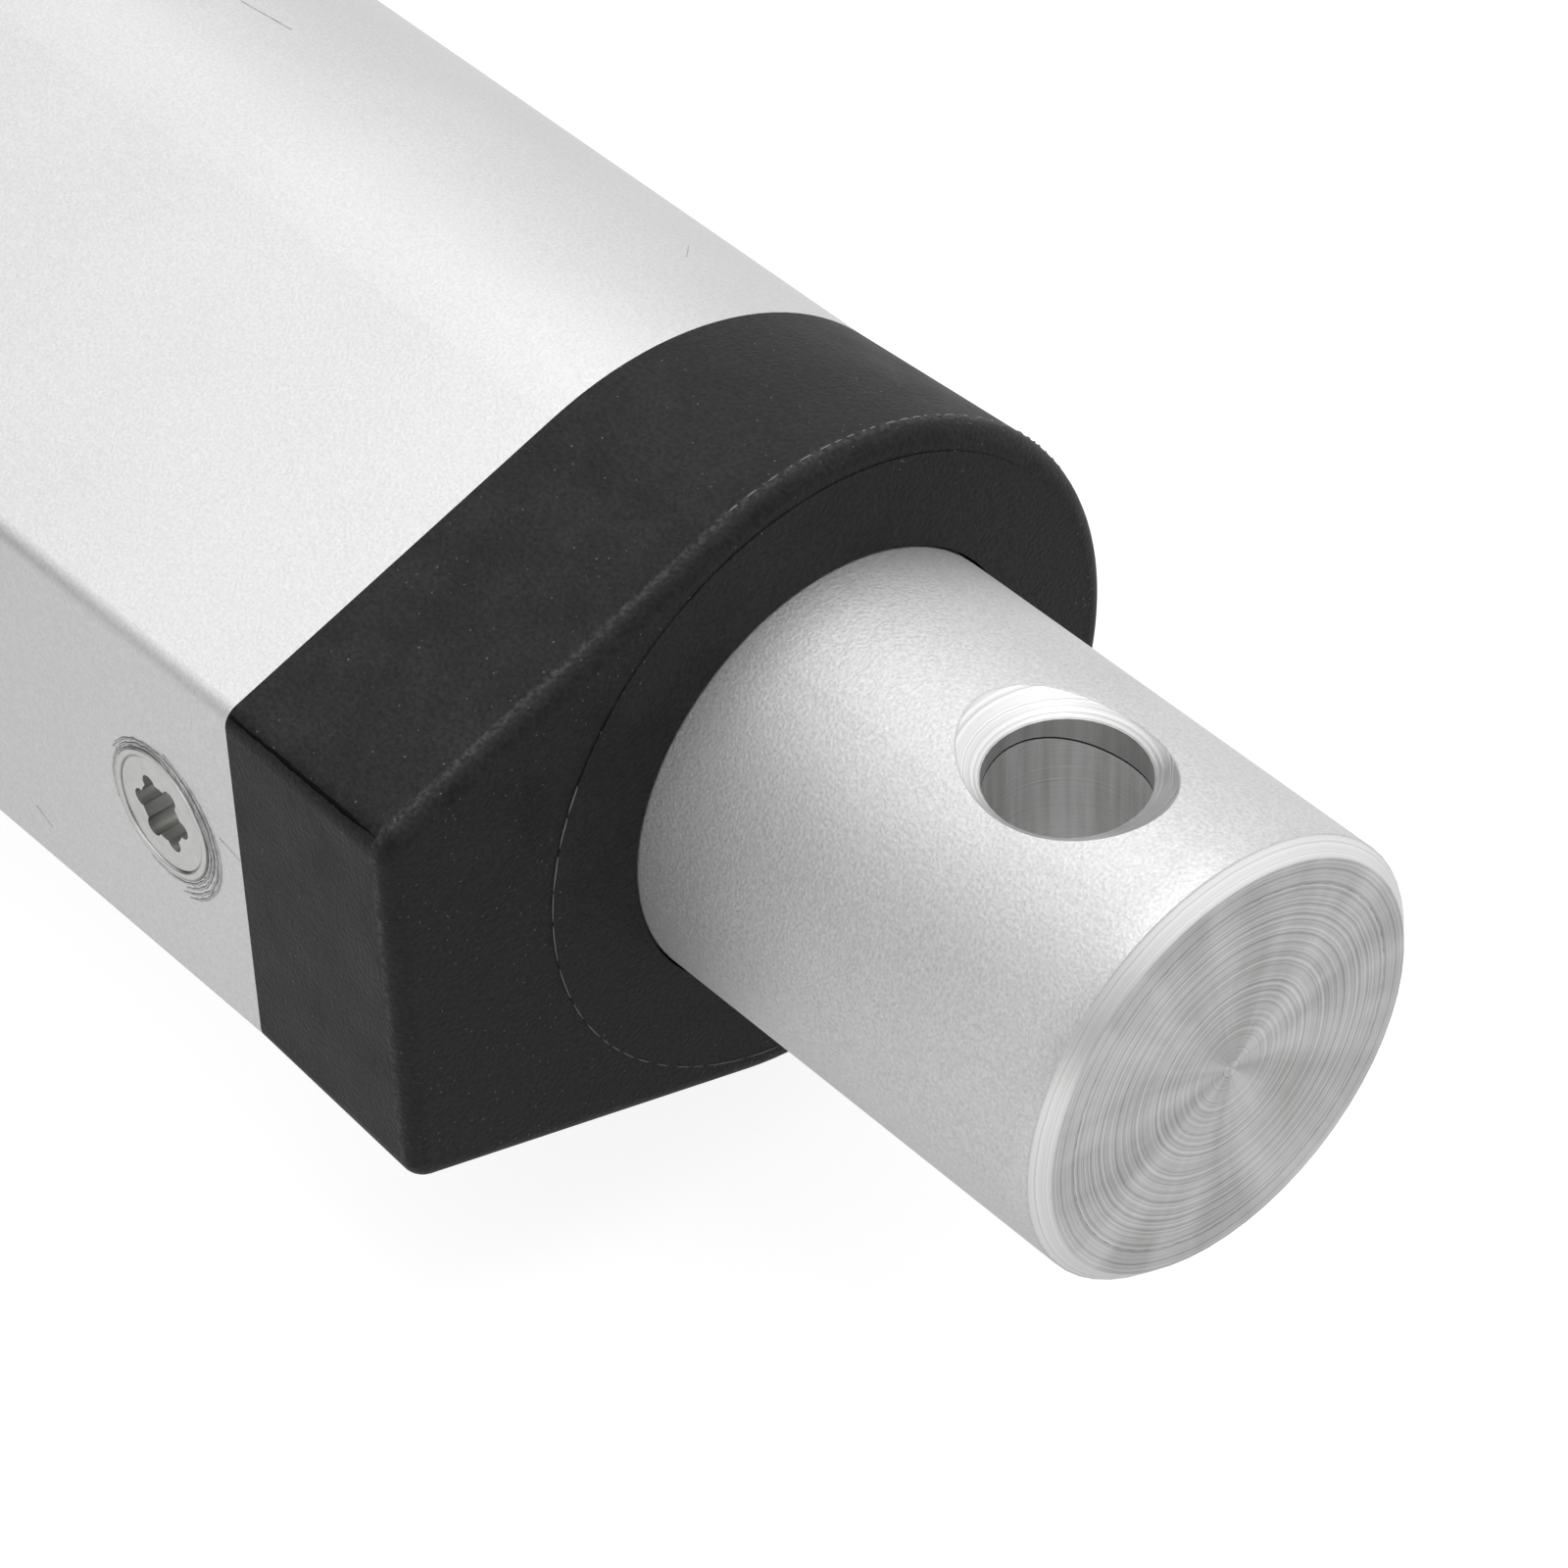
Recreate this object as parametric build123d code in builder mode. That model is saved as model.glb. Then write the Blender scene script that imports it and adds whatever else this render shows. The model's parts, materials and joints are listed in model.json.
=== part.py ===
from build123d import *
import os
from math import acos, atan, cos, degrees, hypot, pi, radians, sin, tan

os.makedirs("parts", exist_ok=True)

# An electric linear actuator, fully retracted and lying on its side, in millimetres.
# The origin is the centre of the rear eye and +X is the way the rod extends.
# +Z is along the pins of both eyes, and the motor lies beside the tube on the -Y side.

# Travel of the rod
stroke = 100.0

# Rod and its eye
rod_radius = 10.0
rod_wall = 1.8
rod_end_chamfer = 0.7
rod_end_past_eye = 9.2
rod_plug_length = 24.0
eye_radius = 3.35
eye_past_cap = 14.25
eye_countersink_radius = 4.84
eye_countersink_depth = 1.13

# Outer tube: an arc round the rod's axis, and two sides that lean in to a narrow flat side
tube_side_lean = 17.85
tube_corner_radius = 0.9
tube_wall = 2.0

# Front cap
cap_length = 10.5
cap_growth = 0.43
cap_front_radius = 0.85
cap_face_thickness = 3.0
cap_plug_length = 10.0
cap_mouth_gap = 0.11
cap_ring_inset = 0.75
cap_ring_step = 0.04
cap_ring_rise = 0.12
seal_length = 3.0
bush_wall = 1.5
cap_plug_wall = 1.34

# Six-lobe countersunk screws that hold the tube
tube_screw_radius = 1.5
tube_screw_head_radius = 3.05
tube_screw_head_height = 1.5
tube_screw_length = 8.5
tube_screw_setback = 5.4
lobe_radius = 0.42
lobe_reach = 1.33
lobe_recess_depth = 1.2

# Lead screw, trapezoidal, 10 mm across with a 2 mm lead, drawn at its outer diameter
screw_radius = 5.0
journal_radius = 4.0
tip_radius = 3.5
tip_guide_length = 3.0
tip_guide_gap = 1.0

# Drive nut
nut_block_length = 16.75
nut_shank_length = 12.0
nut_end_gap = 2.0
nut_pin_radius = 1.5
nut_pin_depth = 4.0
nut_pin_setback = 6.0

# Limit switches on their board along the flat side
board_thickness = 1.2
board_width = 11.0
switch_length = 6.4
switch_width = 5.0
switch_height = 4.6
switch_end_gap = 0.5
plunger_radius = 0.7
plunger_reach = 1.0
plunger_depth = 2.0
plunger_travel = 0.6
plunger_spare = 0.4
tab_above_board = 0.6
nut_to_switch = 1.1

# Ball bearings of the screw, 8 x 22 x 7
bearing_radius = 11.0
bearing_width = 7.0
ball_radius = 1.98
ball_count = 7
ring_split = 1.2
ball_play = 0.05

# Gears: pinion to idler, then idler to the gear on the screw
pinion_teeth = 12
idler_large_teeth = 42
idler_small_teeth = 12
final_teeth = 36
module_ratio = 9 / 7
pressure_angle = 20.0
addendum_shift = 0.3
dedendum = 1.25
tooth_play = 0.08
flank_points = 5
final_hub_radius = 5.8
final_hub_length = 8.0
final_rim_inset = 0.5
idler_large_width = 5.5
idler_hub_step = 0.7
idler_axle_radius = 2.0
idler_boss_radius = 4.5
idler_boss_height = 1.0
washer_thickness = 0.5
key_width = 2.0
key_height = 2.0
key_length = 5.0
clip_thickness = 1.0
clip_reach = 1.5
clip_groove_depth = 0.5

# Gearbox, two castings with a gasket between them
casting_wall = 2.5
gear_to_wall = 0.67
gearbox_corner_radius = 6.5
gearbox_edge_radius = 2.0
front_wall = 3.3
gasket_thickness = 0.5
cover_floor = 2.5
clip_space = 2.5
clip_space_radius = 7.0
bearing_boss_wall = 2.5
spigot_length = 8.0
axle_seat_depth = 2.3
cover_screw_radius = 1.5
cover_screw_length = 16.0
cover_screw_head_radius = 2.75
cover_screw_head_height = 2.0
cover_boss_radius = 3.2
cover_boss_inset = 4.7
motor_boss_shift = 1.0
wire_slot_width = 3.5
wire_slot_height = 2.5
wire_slot_offset = 2.5

# Rear lug
lug_radius = 9.2
lug_thickness = 20.0
eye_to_cover = 11.0
lug_bore_chamfer = 0.5
lug_edge_radius = 1.2
lug_root_radius = 2.5

# Raised round fields on the gearbox's rear face
field_height = 1.2
field_margin = 1.4
field_edge_radius = 0.6
motor_field_radius = 13.0

# Motor and its housing
motor_housing_radius = 18.5
motor_housing_wall = 1.5
motor_to_tube = 0.5
motor_clearance = 1.2
motor_length = 57.0
can_wall = 1.0
can_boss_radius = 5.0
can_boss_length = 2.8
shaft_radius = 1.6
magnet_thickness = 2.5
magnet_half_angle = 62.0
armature_gap = 0.6
armature_start = 11.0
slot_count = 5
slot_share = 2 / 9
slot_place_share = 2 / 3
slot_mouth = 1.6
winding_overhang = 2.5
winding_to_commutator = 3.5
commutator_radius = 4.0
commutator_length = 6.0
brush_width = 3.0
brush_depth = 2.5
brush_length = 4.0
brush_arm_thickness = 0.4
end_bell_thickness = 4.0
terminal_width = 3.0
terminal_thickness = 0.6
terminal_reach = 5.0
terminal_root = 1.0
terminal_offset = 9.0
motor_screw_radius = 1.25
motor_screw_offset = 8.0
motor_screw_head_radius = 2.2
motor_screw_head_height = 1.3
motor_spigot_wall = 0.9
motor_spigot_length = 5.0
motor_end_space = 14.0
end_cap_thickness = 5.0
end_cap_floor = 3.0
end_cap_plug_length = 6.0
end_cap_plug_wall = 2.5
end_cap_edge_radius = 1.5
seal_ring_radius = 0.7
cable_radius = 2.5
grommet_neck_radius = 4.0
grommet_flange_radius = 5.5
grommet_flange_thickness = 1.2
grommet_nose_length = 7.0
grommet_nose_radius = 3.6

# Clearances
press_gap = 0.02
plug_gap = 0.1
running_gap = 0.06
slide_gap = 0.4
switch_gap = 0.3
hole_gap = 0.05
free_gap = 0.3

BASE = (Align.CENTER, Align.CENTER, Align.MIN)
TOP = (Align.CENTER, Align.CENTER, Align.MAX)
UP_FROM_AXIS = (Align.MIN, Align.CENTER, Align.MIN)

# Sizes that follow from the ones above
rod_bore_radius = rod_radius - rod_wall
bush_outer_radius = rod_radius + running_gap + bush_wall
tube_bore_radius = bush_outer_radius + cap_plug_wall + plug_gap
tube_radius = tube_bore_radius + tube_wall
nut_radius = tube_bore_radius - slide_gap
board_top = nut_radius + nut_to_switch + switch_height
tube_floor = board_top + board_thickness
tube_flat_distance = tube_floor + tube_wall
cap_ring_radius = tube_radius - cap_ring_inset
motor_distance = tube_flat_distance + motor_to_tube + motor_housing_radius
module_sum = pinion_teeth + idler_large_teeth + module_ratio * (idler_small_teeth + final_teeth)
pinion_module = 2 * motor_distance / module_sum
final_module = module_ratio * pinion_module
idler_distance = final_module * (idler_small_teeth + final_teeth) / 2
final_tip_radius = final_module * (final_teeth / 2 + 1 - addendum_shift)
idler_tip_radius = pinion_module * (idler_large_teeth / 2 + 1 - addendum_shift)
gear_reach = max(final_tip_radius, idler_tip_radius)
gearbox_half_width = max(gear_reach + gear_to_wall + casting_wall, motor_housing_radius)
motor_bore_radius = motor_housing_radius - motor_housing_wall
motor_radius = motor_bore_radius - motor_clearance
can_bore_radius = motor_radius - can_wall
ball_circle_radius = (bearing_radius + journal_radius) / 2

# Places along X, from the rear eye to the rod's end
cover_rear = eye_to_cover
cover_inside = cover_rear + cover_floor
rear_bearing_start = cover_inside + clip_space
final_hub_start = rear_bearing_start + bearing_width
spacer_start = final_hub_start + final_hub_length
rim_start = final_hub_start + final_rim_inset
rim_width = final_hub_length - 2 * final_rim_inset
idler_large_start = rim_start + rim_width + idler_hub_step
idler_end = idler_large_start + idler_large_width
idler_boss_start = idler_end + washer_thickness
wall_inside = idler_boss_start + idler_boss_height
front_bearing_start = wall_inside + free_gap
screw_shoulder = front_bearing_start + bearing_width
gasket_start = final_hub_start + hole_gap
housing_start = gasket_start + gasket_thickness
tube_start = wall_inside + front_wall
spigot_end = tube_start + spigot_length
nut_start = spigot_end + nut_end_gap
nut_shoulder = nut_start + nut_block_length
nut_end = nut_shoulder + nut_shank_length
cap_plug_start = nut_shoulder + stroke + nut_end_gap
tube_end = cap_plug_start + cap_plug_length
cap_face = tube_end + cap_length
rod_eye = cap_face + eye_past_cap
rod_end = rod_eye + rod_end_past_eye
rod_plug_start = rod_end - rod_plug_length
tip_guide_start = nut_end + stroke + tip_guide_gap
screw_end = tip_guide_start + tip_guide_length
rear_switch_start = spigot_end + switch_end_gap
rear_plunger_tip = rear_switch_start + switch_length + plunger_reach
front_switch_end = cap_plug_start - switch_end_gap
front_plunger_tip = front_switch_end - switch_length - plunger_reach
tab_start = rear_plunger_tip + switch_gap
tab_end = front_plunger_tip - switch_gap - stroke
field_face = cover_rear - field_height
lug_field_radius = hypot(lug_radius, lug_thickness / 2) + lug_root_radius + field_margin
motor_end = tube_start + motor_length
motor_housing_end = motor_end + motor_end_space
print(f"hole to hole, retracted: {rod_eye:.2f}, motor axis at y = {-motor_distance:.2f}")
print(f"pinion module {pinion_module:.3f}, gearbox half width {gearbox_half_width:.2f}")
print(f"tube radius {tube_radius:.3f}, flat side {tube_flat_distance:.3f}, tab {tab_end - tab_start:.2f}")


def across(x, y=0.0, z=0.0):
    """The plane across the actuator at x, whose own axes are +Y and +Z, and which faces +X."""
    return Plane(origin=(x, y, z), x_dir=(0, 1, 0), z_dir=(1, 0, 0))


def flat_side(x):
    """The plane of the tube's flat side at x, which faces away from the rod."""
    return Plane(origin=(x, -tube_flat_distance, 0), x_dir=(1, 0, 0), z_dir=(0, -1, 0))


def save(piece, name):
    """Label a finished piece and write it to its own file."""
    piece.part.label = name
    export_step(piece.part, f"parts/{name}.step")


def sleeve(x, length, outer, inner, y=0.0):
    """A plain round sleeve along X."""
    with BuildPart(across(x, y)) as piece:
        Cylinder(outer, length, align=BASE)
        Cylinder(inner, length, align=BASE, mode=Mode.SUBTRACT)
    return piece


def teardrop(grow=0.0, corner=tube_corner_radius):
    """The tube's section, grown outwards all round by grow."""
    radius = tube_radius + grow
    flat = tube_flat_distance + grow
    normal = radians(90 + tube_side_lean)
    tangent_y = radius * cos(normal)
    tangent_z = radius * sin(normal)
    half_width = (radius + flat * cos(normal)) / sin(normal)
    with BuildSketch() as outline:
        with BuildLine():
            ThreePointArc((tangent_y, tangent_z), (radius, 0), (tangent_y, -tangent_z))
            Polyline(
                (tangent_y, -tangent_z),
                (-flat, -half_width),
                (-flat, half_width),
                (tangent_y, tangent_z),
            )
        make_face()
        fillet(outline.vertices().group_by(Axis.X)[0], corner)
    return outline.sketch


def gearbox_outline(inset=0.0):
    """The gearbox's section: square round the screw, half round at the motor."""
    half = gearbox_half_width - inset
    with BuildSketch() as outline:
        with BuildLine():
            ThreePointArc(
                (-motor_distance, half), (-motor_distance - half, 0), (-motor_distance, -half)
            )
            Polyline(
                (-motor_distance, -half), (half, -half), (half, half), (-motor_distance, half)
            )
        make_face()
        fillet(outline.vertices().group_by(Axis.X)[-1], gearbox_corner_radius - inset)
    return outline.sketch


def gear_outline(teeth, module, shift, first_tooth):
    """An involute gear's outline, with the middle of one tooth at the angle first_tooth."""
    angle = radians(pressure_angle)
    pitch = module * teeth / 2
    base = pitch * cos(angle)
    tip = pitch + module * (1 + shift)
    root = pitch + module * (shift - dedendum)
    half_at_pitch = (pi / 2 + 2 * shift * tan(angle)) / teeth - tooth_play / (2 * pitch)

    def half_angle(radius):
        roll = acos(min(base / radius, 1.0))
        return half_at_pitch + tan(angle) - angle - tan(roll) + roll

    start = max(base, root)
    flank = [start + (tip - start) * i / (flank_points - 1) for i in range(flank_points)]
    side = [(radius, half_angle(radius)) for radius in flank]
    if root < base:
        side.insert(0, (root, half_angle(base)))
    points = []
    for tooth in range(teeth):
        middle = radians(first_tooth) + 2 * pi * tooth / teeth
        for radius, half in side:
            points.append((radius * cos(middle - half), radius * sin(middle - half)))
        for radius, half in reversed(side):
            points.append((radius * cos(middle + half), radius * sin(middle + half)))
    with BuildSketch() as outline:
        with BuildLine():
            Polyline(*points, close=True)
        make_face()
    return outline.sketch


def cover_screw_places():
    """Where the four gearbox screws stand, across the gearbox."""
    corner = gearbox_half_width - cover_boss_inset
    around = (corner + motor_boss_shift) * cos(pi / 4)
    places = []
    for side in (-1, 1):
        places.append((corner, side * corner))
        places.append((-motor_distance - around, side * around))
    return places


# Outer tube, with a countersunk hole near each end of its flat side
tube_screw_places = (tube_start + tube_screw_setback, tube_end - tube_screw_setback)
with BuildPart() as outer_tube:
    with BuildSketch(across(tube_start)):
        add(teardrop())
        add(teardrop(-tube_wall, tube_corner_radius / 2), mode=Mode.SUBTRACT)
    extrude(amount=tube_end - tube_start)
    for place in tube_screw_places:
        with Locations(flat_side(place)):
            Cylinder(tube_screw_radius + hole_gap, tube_wall, align=TOP, mode=Mode.SUBTRACT)
            Cone(
                tube_screw_radius + hole_gap,
                tube_screw_head_radius + hole_gap,
                tube_screw_head_height + hole_gap,
                align=TOP,
                mode=Mode.SUBTRACT,
            )
save(outer_tube, "outer_tube")

# The screws that hold the tube to the cap and to the gearbox
with BuildPart() as tube_screws:
    for place in tube_screw_places:
        with Locations(flat_side(place)):
            Cylinder(tube_screw_radius, tube_screw_length, align=TOP)
            Cone(tube_screw_radius, tube_screw_head_radius, tube_screw_head_height, align=TOP)
    for place in tube_screw_places:
        with BuildSketch(flat_side(place)):
            Circle(lobe_reach)
            with PolarLocations(lobe_reach, 6):
                Circle(lobe_radius)
        extrude(amount=-lobe_recess_depth, mode=Mode.SUBTRACT)
save(tube_screws, "tube_screws")

# Front cap: it grows from the tube's outline to its front edge, and plugs into the tube
cap_taper = degrees(atan(cap_growth / cap_length))
with BuildPart() as front_cap:
    with BuildSketch(across(tube_end)):
        add(teardrop())
    extrude(amount=cap_length, taper=-cap_taper)
    fillet(front_cap.faces().sort_by(Axis.X)[-1].edges(), cap_front_radius)
    with BuildSketch(across(tube_end)):
        add(teardrop(-tube_wall - plug_gap, tube_corner_radius / 2))
    extrude(amount=-cap_plug_length)
    with BuildSketch(Plane.XY):
        with BuildLine():
            Polyline(
                (cap_face - cap_front_radius, 0),
                (cap_face - cap_front_radius, cap_ring_radius),
                (cap_face + cap_ring_step, cap_ring_radius),
                (cap_face + cap_ring_step + cap_ring_rise, rod_radius + cap_mouth_gap),
                (cap_face + cap_ring_step + cap_ring_rise, 0),
                close=True,
            )
        make_face()
    revolve(axis=Axis.X)
    with Locations(across(cap_plug_start)):
        Cylinder(
            rod_radius + cap_mouth_gap,
            cap_plug_length + cap_length + cap_ring_step + cap_ring_rise,
            align=BASE,
            mode=Mode.SUBTRACT,
        )
        Cylinder(
            bush_outer_radius + press_gap,
            cap_plug_length + cap_length - cap_face_thickness,
            align=BASE,
            mode=Mode.SUBTRACT,
        )
    with Locations(flat_side(tube_end - tube_screw_setback)):
        Cylinder(
            tube_screw_radius + press_gap, tube_screw_length + free_gap, align=TOP, mode=Mode.SUBTRACT
        )
save(front_cap, "front_cap")

# Wiper seal and guide bush, both pushed into the cap from behind
seal_start = cap_face - cap_face_thickness - seal_length
wiper_seal = sleeve(seal_start, seal_length, bush_outer_radius, rod_radius + running_gap)
save(wiper_seal, "wiper_seal")
guide_bush = sleeve(
    cap_plug_start, seal_start - cap_plug_start, bush_outer_radius, rod_radius + running_gap
)
save(guide_bush, "guide_bush")

# Rod: a tube with its eye drilled and countersunk through both walls
nut_pin_place = nut_shoulder + nut_pin_setback
with BuildPart() as rod_tube:
    with Locations(across(nut_shoulder)):
        Cylinder(rod_radius, rod_end - nut_shoulder, align=BASE)
    chamfer(rod_tube.faces().sort_by(Axis.X)[-1].edges(), rod_end_chamfer)
    with Locations(across(nut_shoulder)):
        Cylinder(rod_bore_radius, rod_end - nut_shoulder, align=BASE, mode=Mode.SUBTRACT)
    with Locations((rod_eye, 0, 0)):
        Cylinder(eye_radius, 2 * rod_radius, mode=Mode.SUBTRACT)
    slope = (eye_countersink_radius - eye_radius) / eye_countersink_depth
    cone_height = 2 * eye_countersink_depth
    for facing in (1, -1):
        rim = Plane(
            origin=(rod_eye, 0, facing * (rod_radius - eye_countersink_depth)),
            x_dir=(1, 0, 0),
            z_dir=(0, 0, facing),
        )
        with Locations(rim):
            Cone(
                eye_radius,
                eye_radius + slope * cone_height,
                cone_height,
                align=BASE,
                mode=Mode.SUBTRACT,
            )
    with Locations((nut_pin_place, 0, 0)):
        Cylinder(nut_pin_radius + press_gap, 2 * rod_radius, mode=Mode.SUBTRACT)
save(rod_tube, "rod_tube")

# The solid plug in the rod's end, with the eye drilled through it
with BuildPart() as rod_end_plug:
    with Locations(across(rod_plug_start)):
        Cylinder(rod_bore_radius - press_gap, rod_end - rod_plug_start, align=BASE)
    with Locations((rod_eye, 0, 0)):
        Cylinder(eye_radius, 2 * rod_radius, mode=Mode.SUBTRACT)
save(rod_end_plug, "rod_end_plug")

# Drive nut: a block that slides in the tube, a tab for the switches and a shank inside the rod
tab_flat = board_top - tab_above_board
with BuildPart() as drive_nut:
    with Locations(across(nut_start)):
        Cylinder(nut_radius, nut_block_length, align=BASE)
        Cylinder(rod_bore_radius - press_gap, nut_end - nut_start, align=BASE)
    with BuildSketch(across(tab_start)):
        add(teardrop(-tube_wall - slide_gap, tube_corner_radius / 2))
        with Locations((-tab_flat, 0)):
            Rectangle(
                tube_radius, 2 * tube_radius, align=(Align.MAX, Align.CENTER), mode=Mode.SUBTRACT
            )
    extrude(amount=tab_end - tab_start)
    with Locations(across(nut_start)):
        Cylinder(screw_radius + running_gap, nut_end - nut_start, align=BASE, mode=Mode.SUBTRACT)
    with Locations((nut_pin_place, 0, 0)):
        Cylinder(nut_pin_radius + press_gap, 2 * rod_radius, mode=Mode.SUBTRACT)
save(drive_nut, "drive_nut")

# Two pins through the rod's wall into the nut's shank, just below the rod's surface
pin_top = rod_radius - press_gap - nut_pin_radius**2 / (2 * rod_radius)
pin_length = min(nut_pin_depth, pin_top - screw_radius - 2 * free_gap)
with BuildPart() as nut_pins:
    for facing in (1, -1):
        foot = facing * (pin_top - pin_length)
        seat = Plane(origin=(nut_pin_place, 0, foot), x_dir=(1, 0, 0), z_dir=(0, 0, facing))
        with Locations(seat):
            Cylinder(nut_pin_radius, pin_length, align=BASE)
save(nut_pins, "nut_pins")

# Lead screw: journals for the gear and the bearings, the screw itself and its turned-down tip
clip_start = rear_bearing_start - clip_thickness - hole_gap
journal_start = cover_inside + free_gap
key_start = final_hub_start + (final_hub_length - key_length) / 2
key_foot = journal_radius - key_height / 2
with BuildPart() as lead_screw:
    with Locations(across(journal_start)):
        Cylinder(journal_radius, screw_shoulder - journal_start, align=BASE)
    with Locations(across(screw_shoulder)):
        Cylinder(screw_radius, tip_guide_start - screw_shoulder, align=BASE)
    with Locations(across(tip_guide_start)):
        Cylinder(tip_radius, screw_end - tip_guide_start, align=BASE)
    with BuildSketch(across(clip_start - hole_gap)):
        Circle(journal_radius)
        Circle(journal_radius - clip_groove_depth, mode=Mode.SUBTRACT)
    extrude(amount=clip_thickness + 2 * hole_gap, mode=Mode.SUBTRACT)
    with Locations(across(key_start, key_foot)):
        Box(key_height, key_width, key_length, align=UP_FROM_AXIS, mode=Mode.SUBTRACT)
save(lead_screw, "lead_screw")

# Plastic ring that keeps the screw's tip in the middle of the rod
screw_tip_guide = sleeve(
    tip_guide_start, tip_guide_length, rod_bore_radius - free_gap, tip_radius + press_gap
)
save(screw_tip_guide, "screw_tip_guide")

# Spring clip behind the rear bearing
with BuildPart() as retaining_ring:
    with BuildSketch(across(clip_start)):
        Circle(journal_radius + clip_reach)
        Circle(journal_radius - clip_groove_depth + press_gap, mode=Mode.SUBTRACT)
        Rectangle(2 * journal_radius, journal_radius, align=(Align.MIN, Align.CENTER), mode=Mode.SUBTRACT)
    extrude(amount=clip_thickness)
save(retaining_ring, "retaining_ring")

# Ball bearings: two grooved rings and their balls
split_inner = ball_circle_radius - ring_split
split_outer = ball_circle_radius + ring_split
for name, start in (("rear_bearing", rear_bearing_start), ("front_bearing", front_bearing_start)):
    middle = start + bearing_width / 2
    for ring, low, high in (
        ("outer_ring", split_outer, bearing_radius),
        ("inner_ring", journal_radius + press_gap, split_inner),
    ):
        with BuildPart() as bearing_ring:
            with BuildSketch(Plane.XY):
                with Locations((start, low)):
                    Rectangle(bearing_width, high - low, align=(Align.MIN, Align.MIN))
                with Locations((middle, ball_circle_radius)):
                    Circle(ball_radius + ball_play, mode=Mode.SUBTRACT)
            revolve(axis=Axis.X)
        save(bearing_ring, f"{name}_{ring}")
    with BuildPart() as bearing_balls:
        with Locations(across(middle)):
            with PolarLocations(ball_circle_radius, ball_count):
                Sphere(ball_radius)
    save(bearing_balls, f"{name}_balls")

# Gear on the screw, keyed to its journal
with BuildPart() as final_gear:
    with BuildSketch(across(rim_start)):
        add(gear_outline(final_teeth, final_module, -addendum_shift, 180))
    extrude(amount=rim_width)
    with Locations(across(final_hub_start)):
        Cylinder(final_hub_radius, final_hub_length, align=BASE)
        Cylinder(journal_radius + press_gap, final_hub_length, align=BASE, mode=Mode.SUBTRACT)
    with Locations(across(final_hub_start, key_foot)):
        Box(
            key_height + press_gap,
            key_width + 2 * press_gap,
            final_hub_length,
            align=UP_FROM_AXIS,
            mode=Mode.SUBTRACT,
        )
save(final_gear, "final_gear")

with BuildPart(across(key_start, key_foot)) as gear_key:
    Box(key_height, key_width, key_length, align=UP_FROM_AXIS)
save(gear_key, "gear_key")

spacer_sleeve = sleeve(
    spacer_start, front_bearing_start - spacer_start, final_hub_radius, journal_radius + press_gap
)
save(spacer_sleeve, "spacer_sleeve")

# Idler: a small gear for the screw's gear and a large one for the pinion, in one moulding
with BuildPart() as idler_gear:
    with BuildSketch(across(rim_start, -idler_distance)):
        add(gear_outline(idler_small_teeth, final_module, addendum_shift, 180 / idler_small_teeth))
    extrude(amount=idler_large_start - rim_start)
    with BuildSketch(across(idler_large_start, -idler_distance)):
        add(gear_outline(idler_large_teeth, pinion_module, -addendum_shift, 180))
    extrude(amount=idler_large_width)
    with Locations(across(rim_start, -idler_distance)):
        Cylinder(
            idler_axle_radius + running_gap, idler_end - rim_start, align=BASE, mode=Mode.SUBTRACT
        )
save(idler_gear, "idler_gear")

axle_start = rim_start - washer_thickness - axle_seat_depth
axle_end = idler_end + washer_thickness + axle_seat_depth
with BuildPart(across(axle_start, -idler_distance)) as idler_axle:
    Cylinder(idler_axle_radius, axle_end - axle_start, align=BASE)
save(idler_axle, "idler_axle")

with BuildPart() as idler_washers:
    for start in (rim_start - washer_thickness, idler_end):
        with Locations(across(start, -idler_distance)):
            Cylinder(idler_boss_radius, washer_thickness - hole_gap, align=BASE)
            Cylinder(
                idler_axle_radius + press_gap, washer_thickness, align=BASE, mode=Mode.SUBTRACT
            )
save(idler_washers, "idler_washers")

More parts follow.
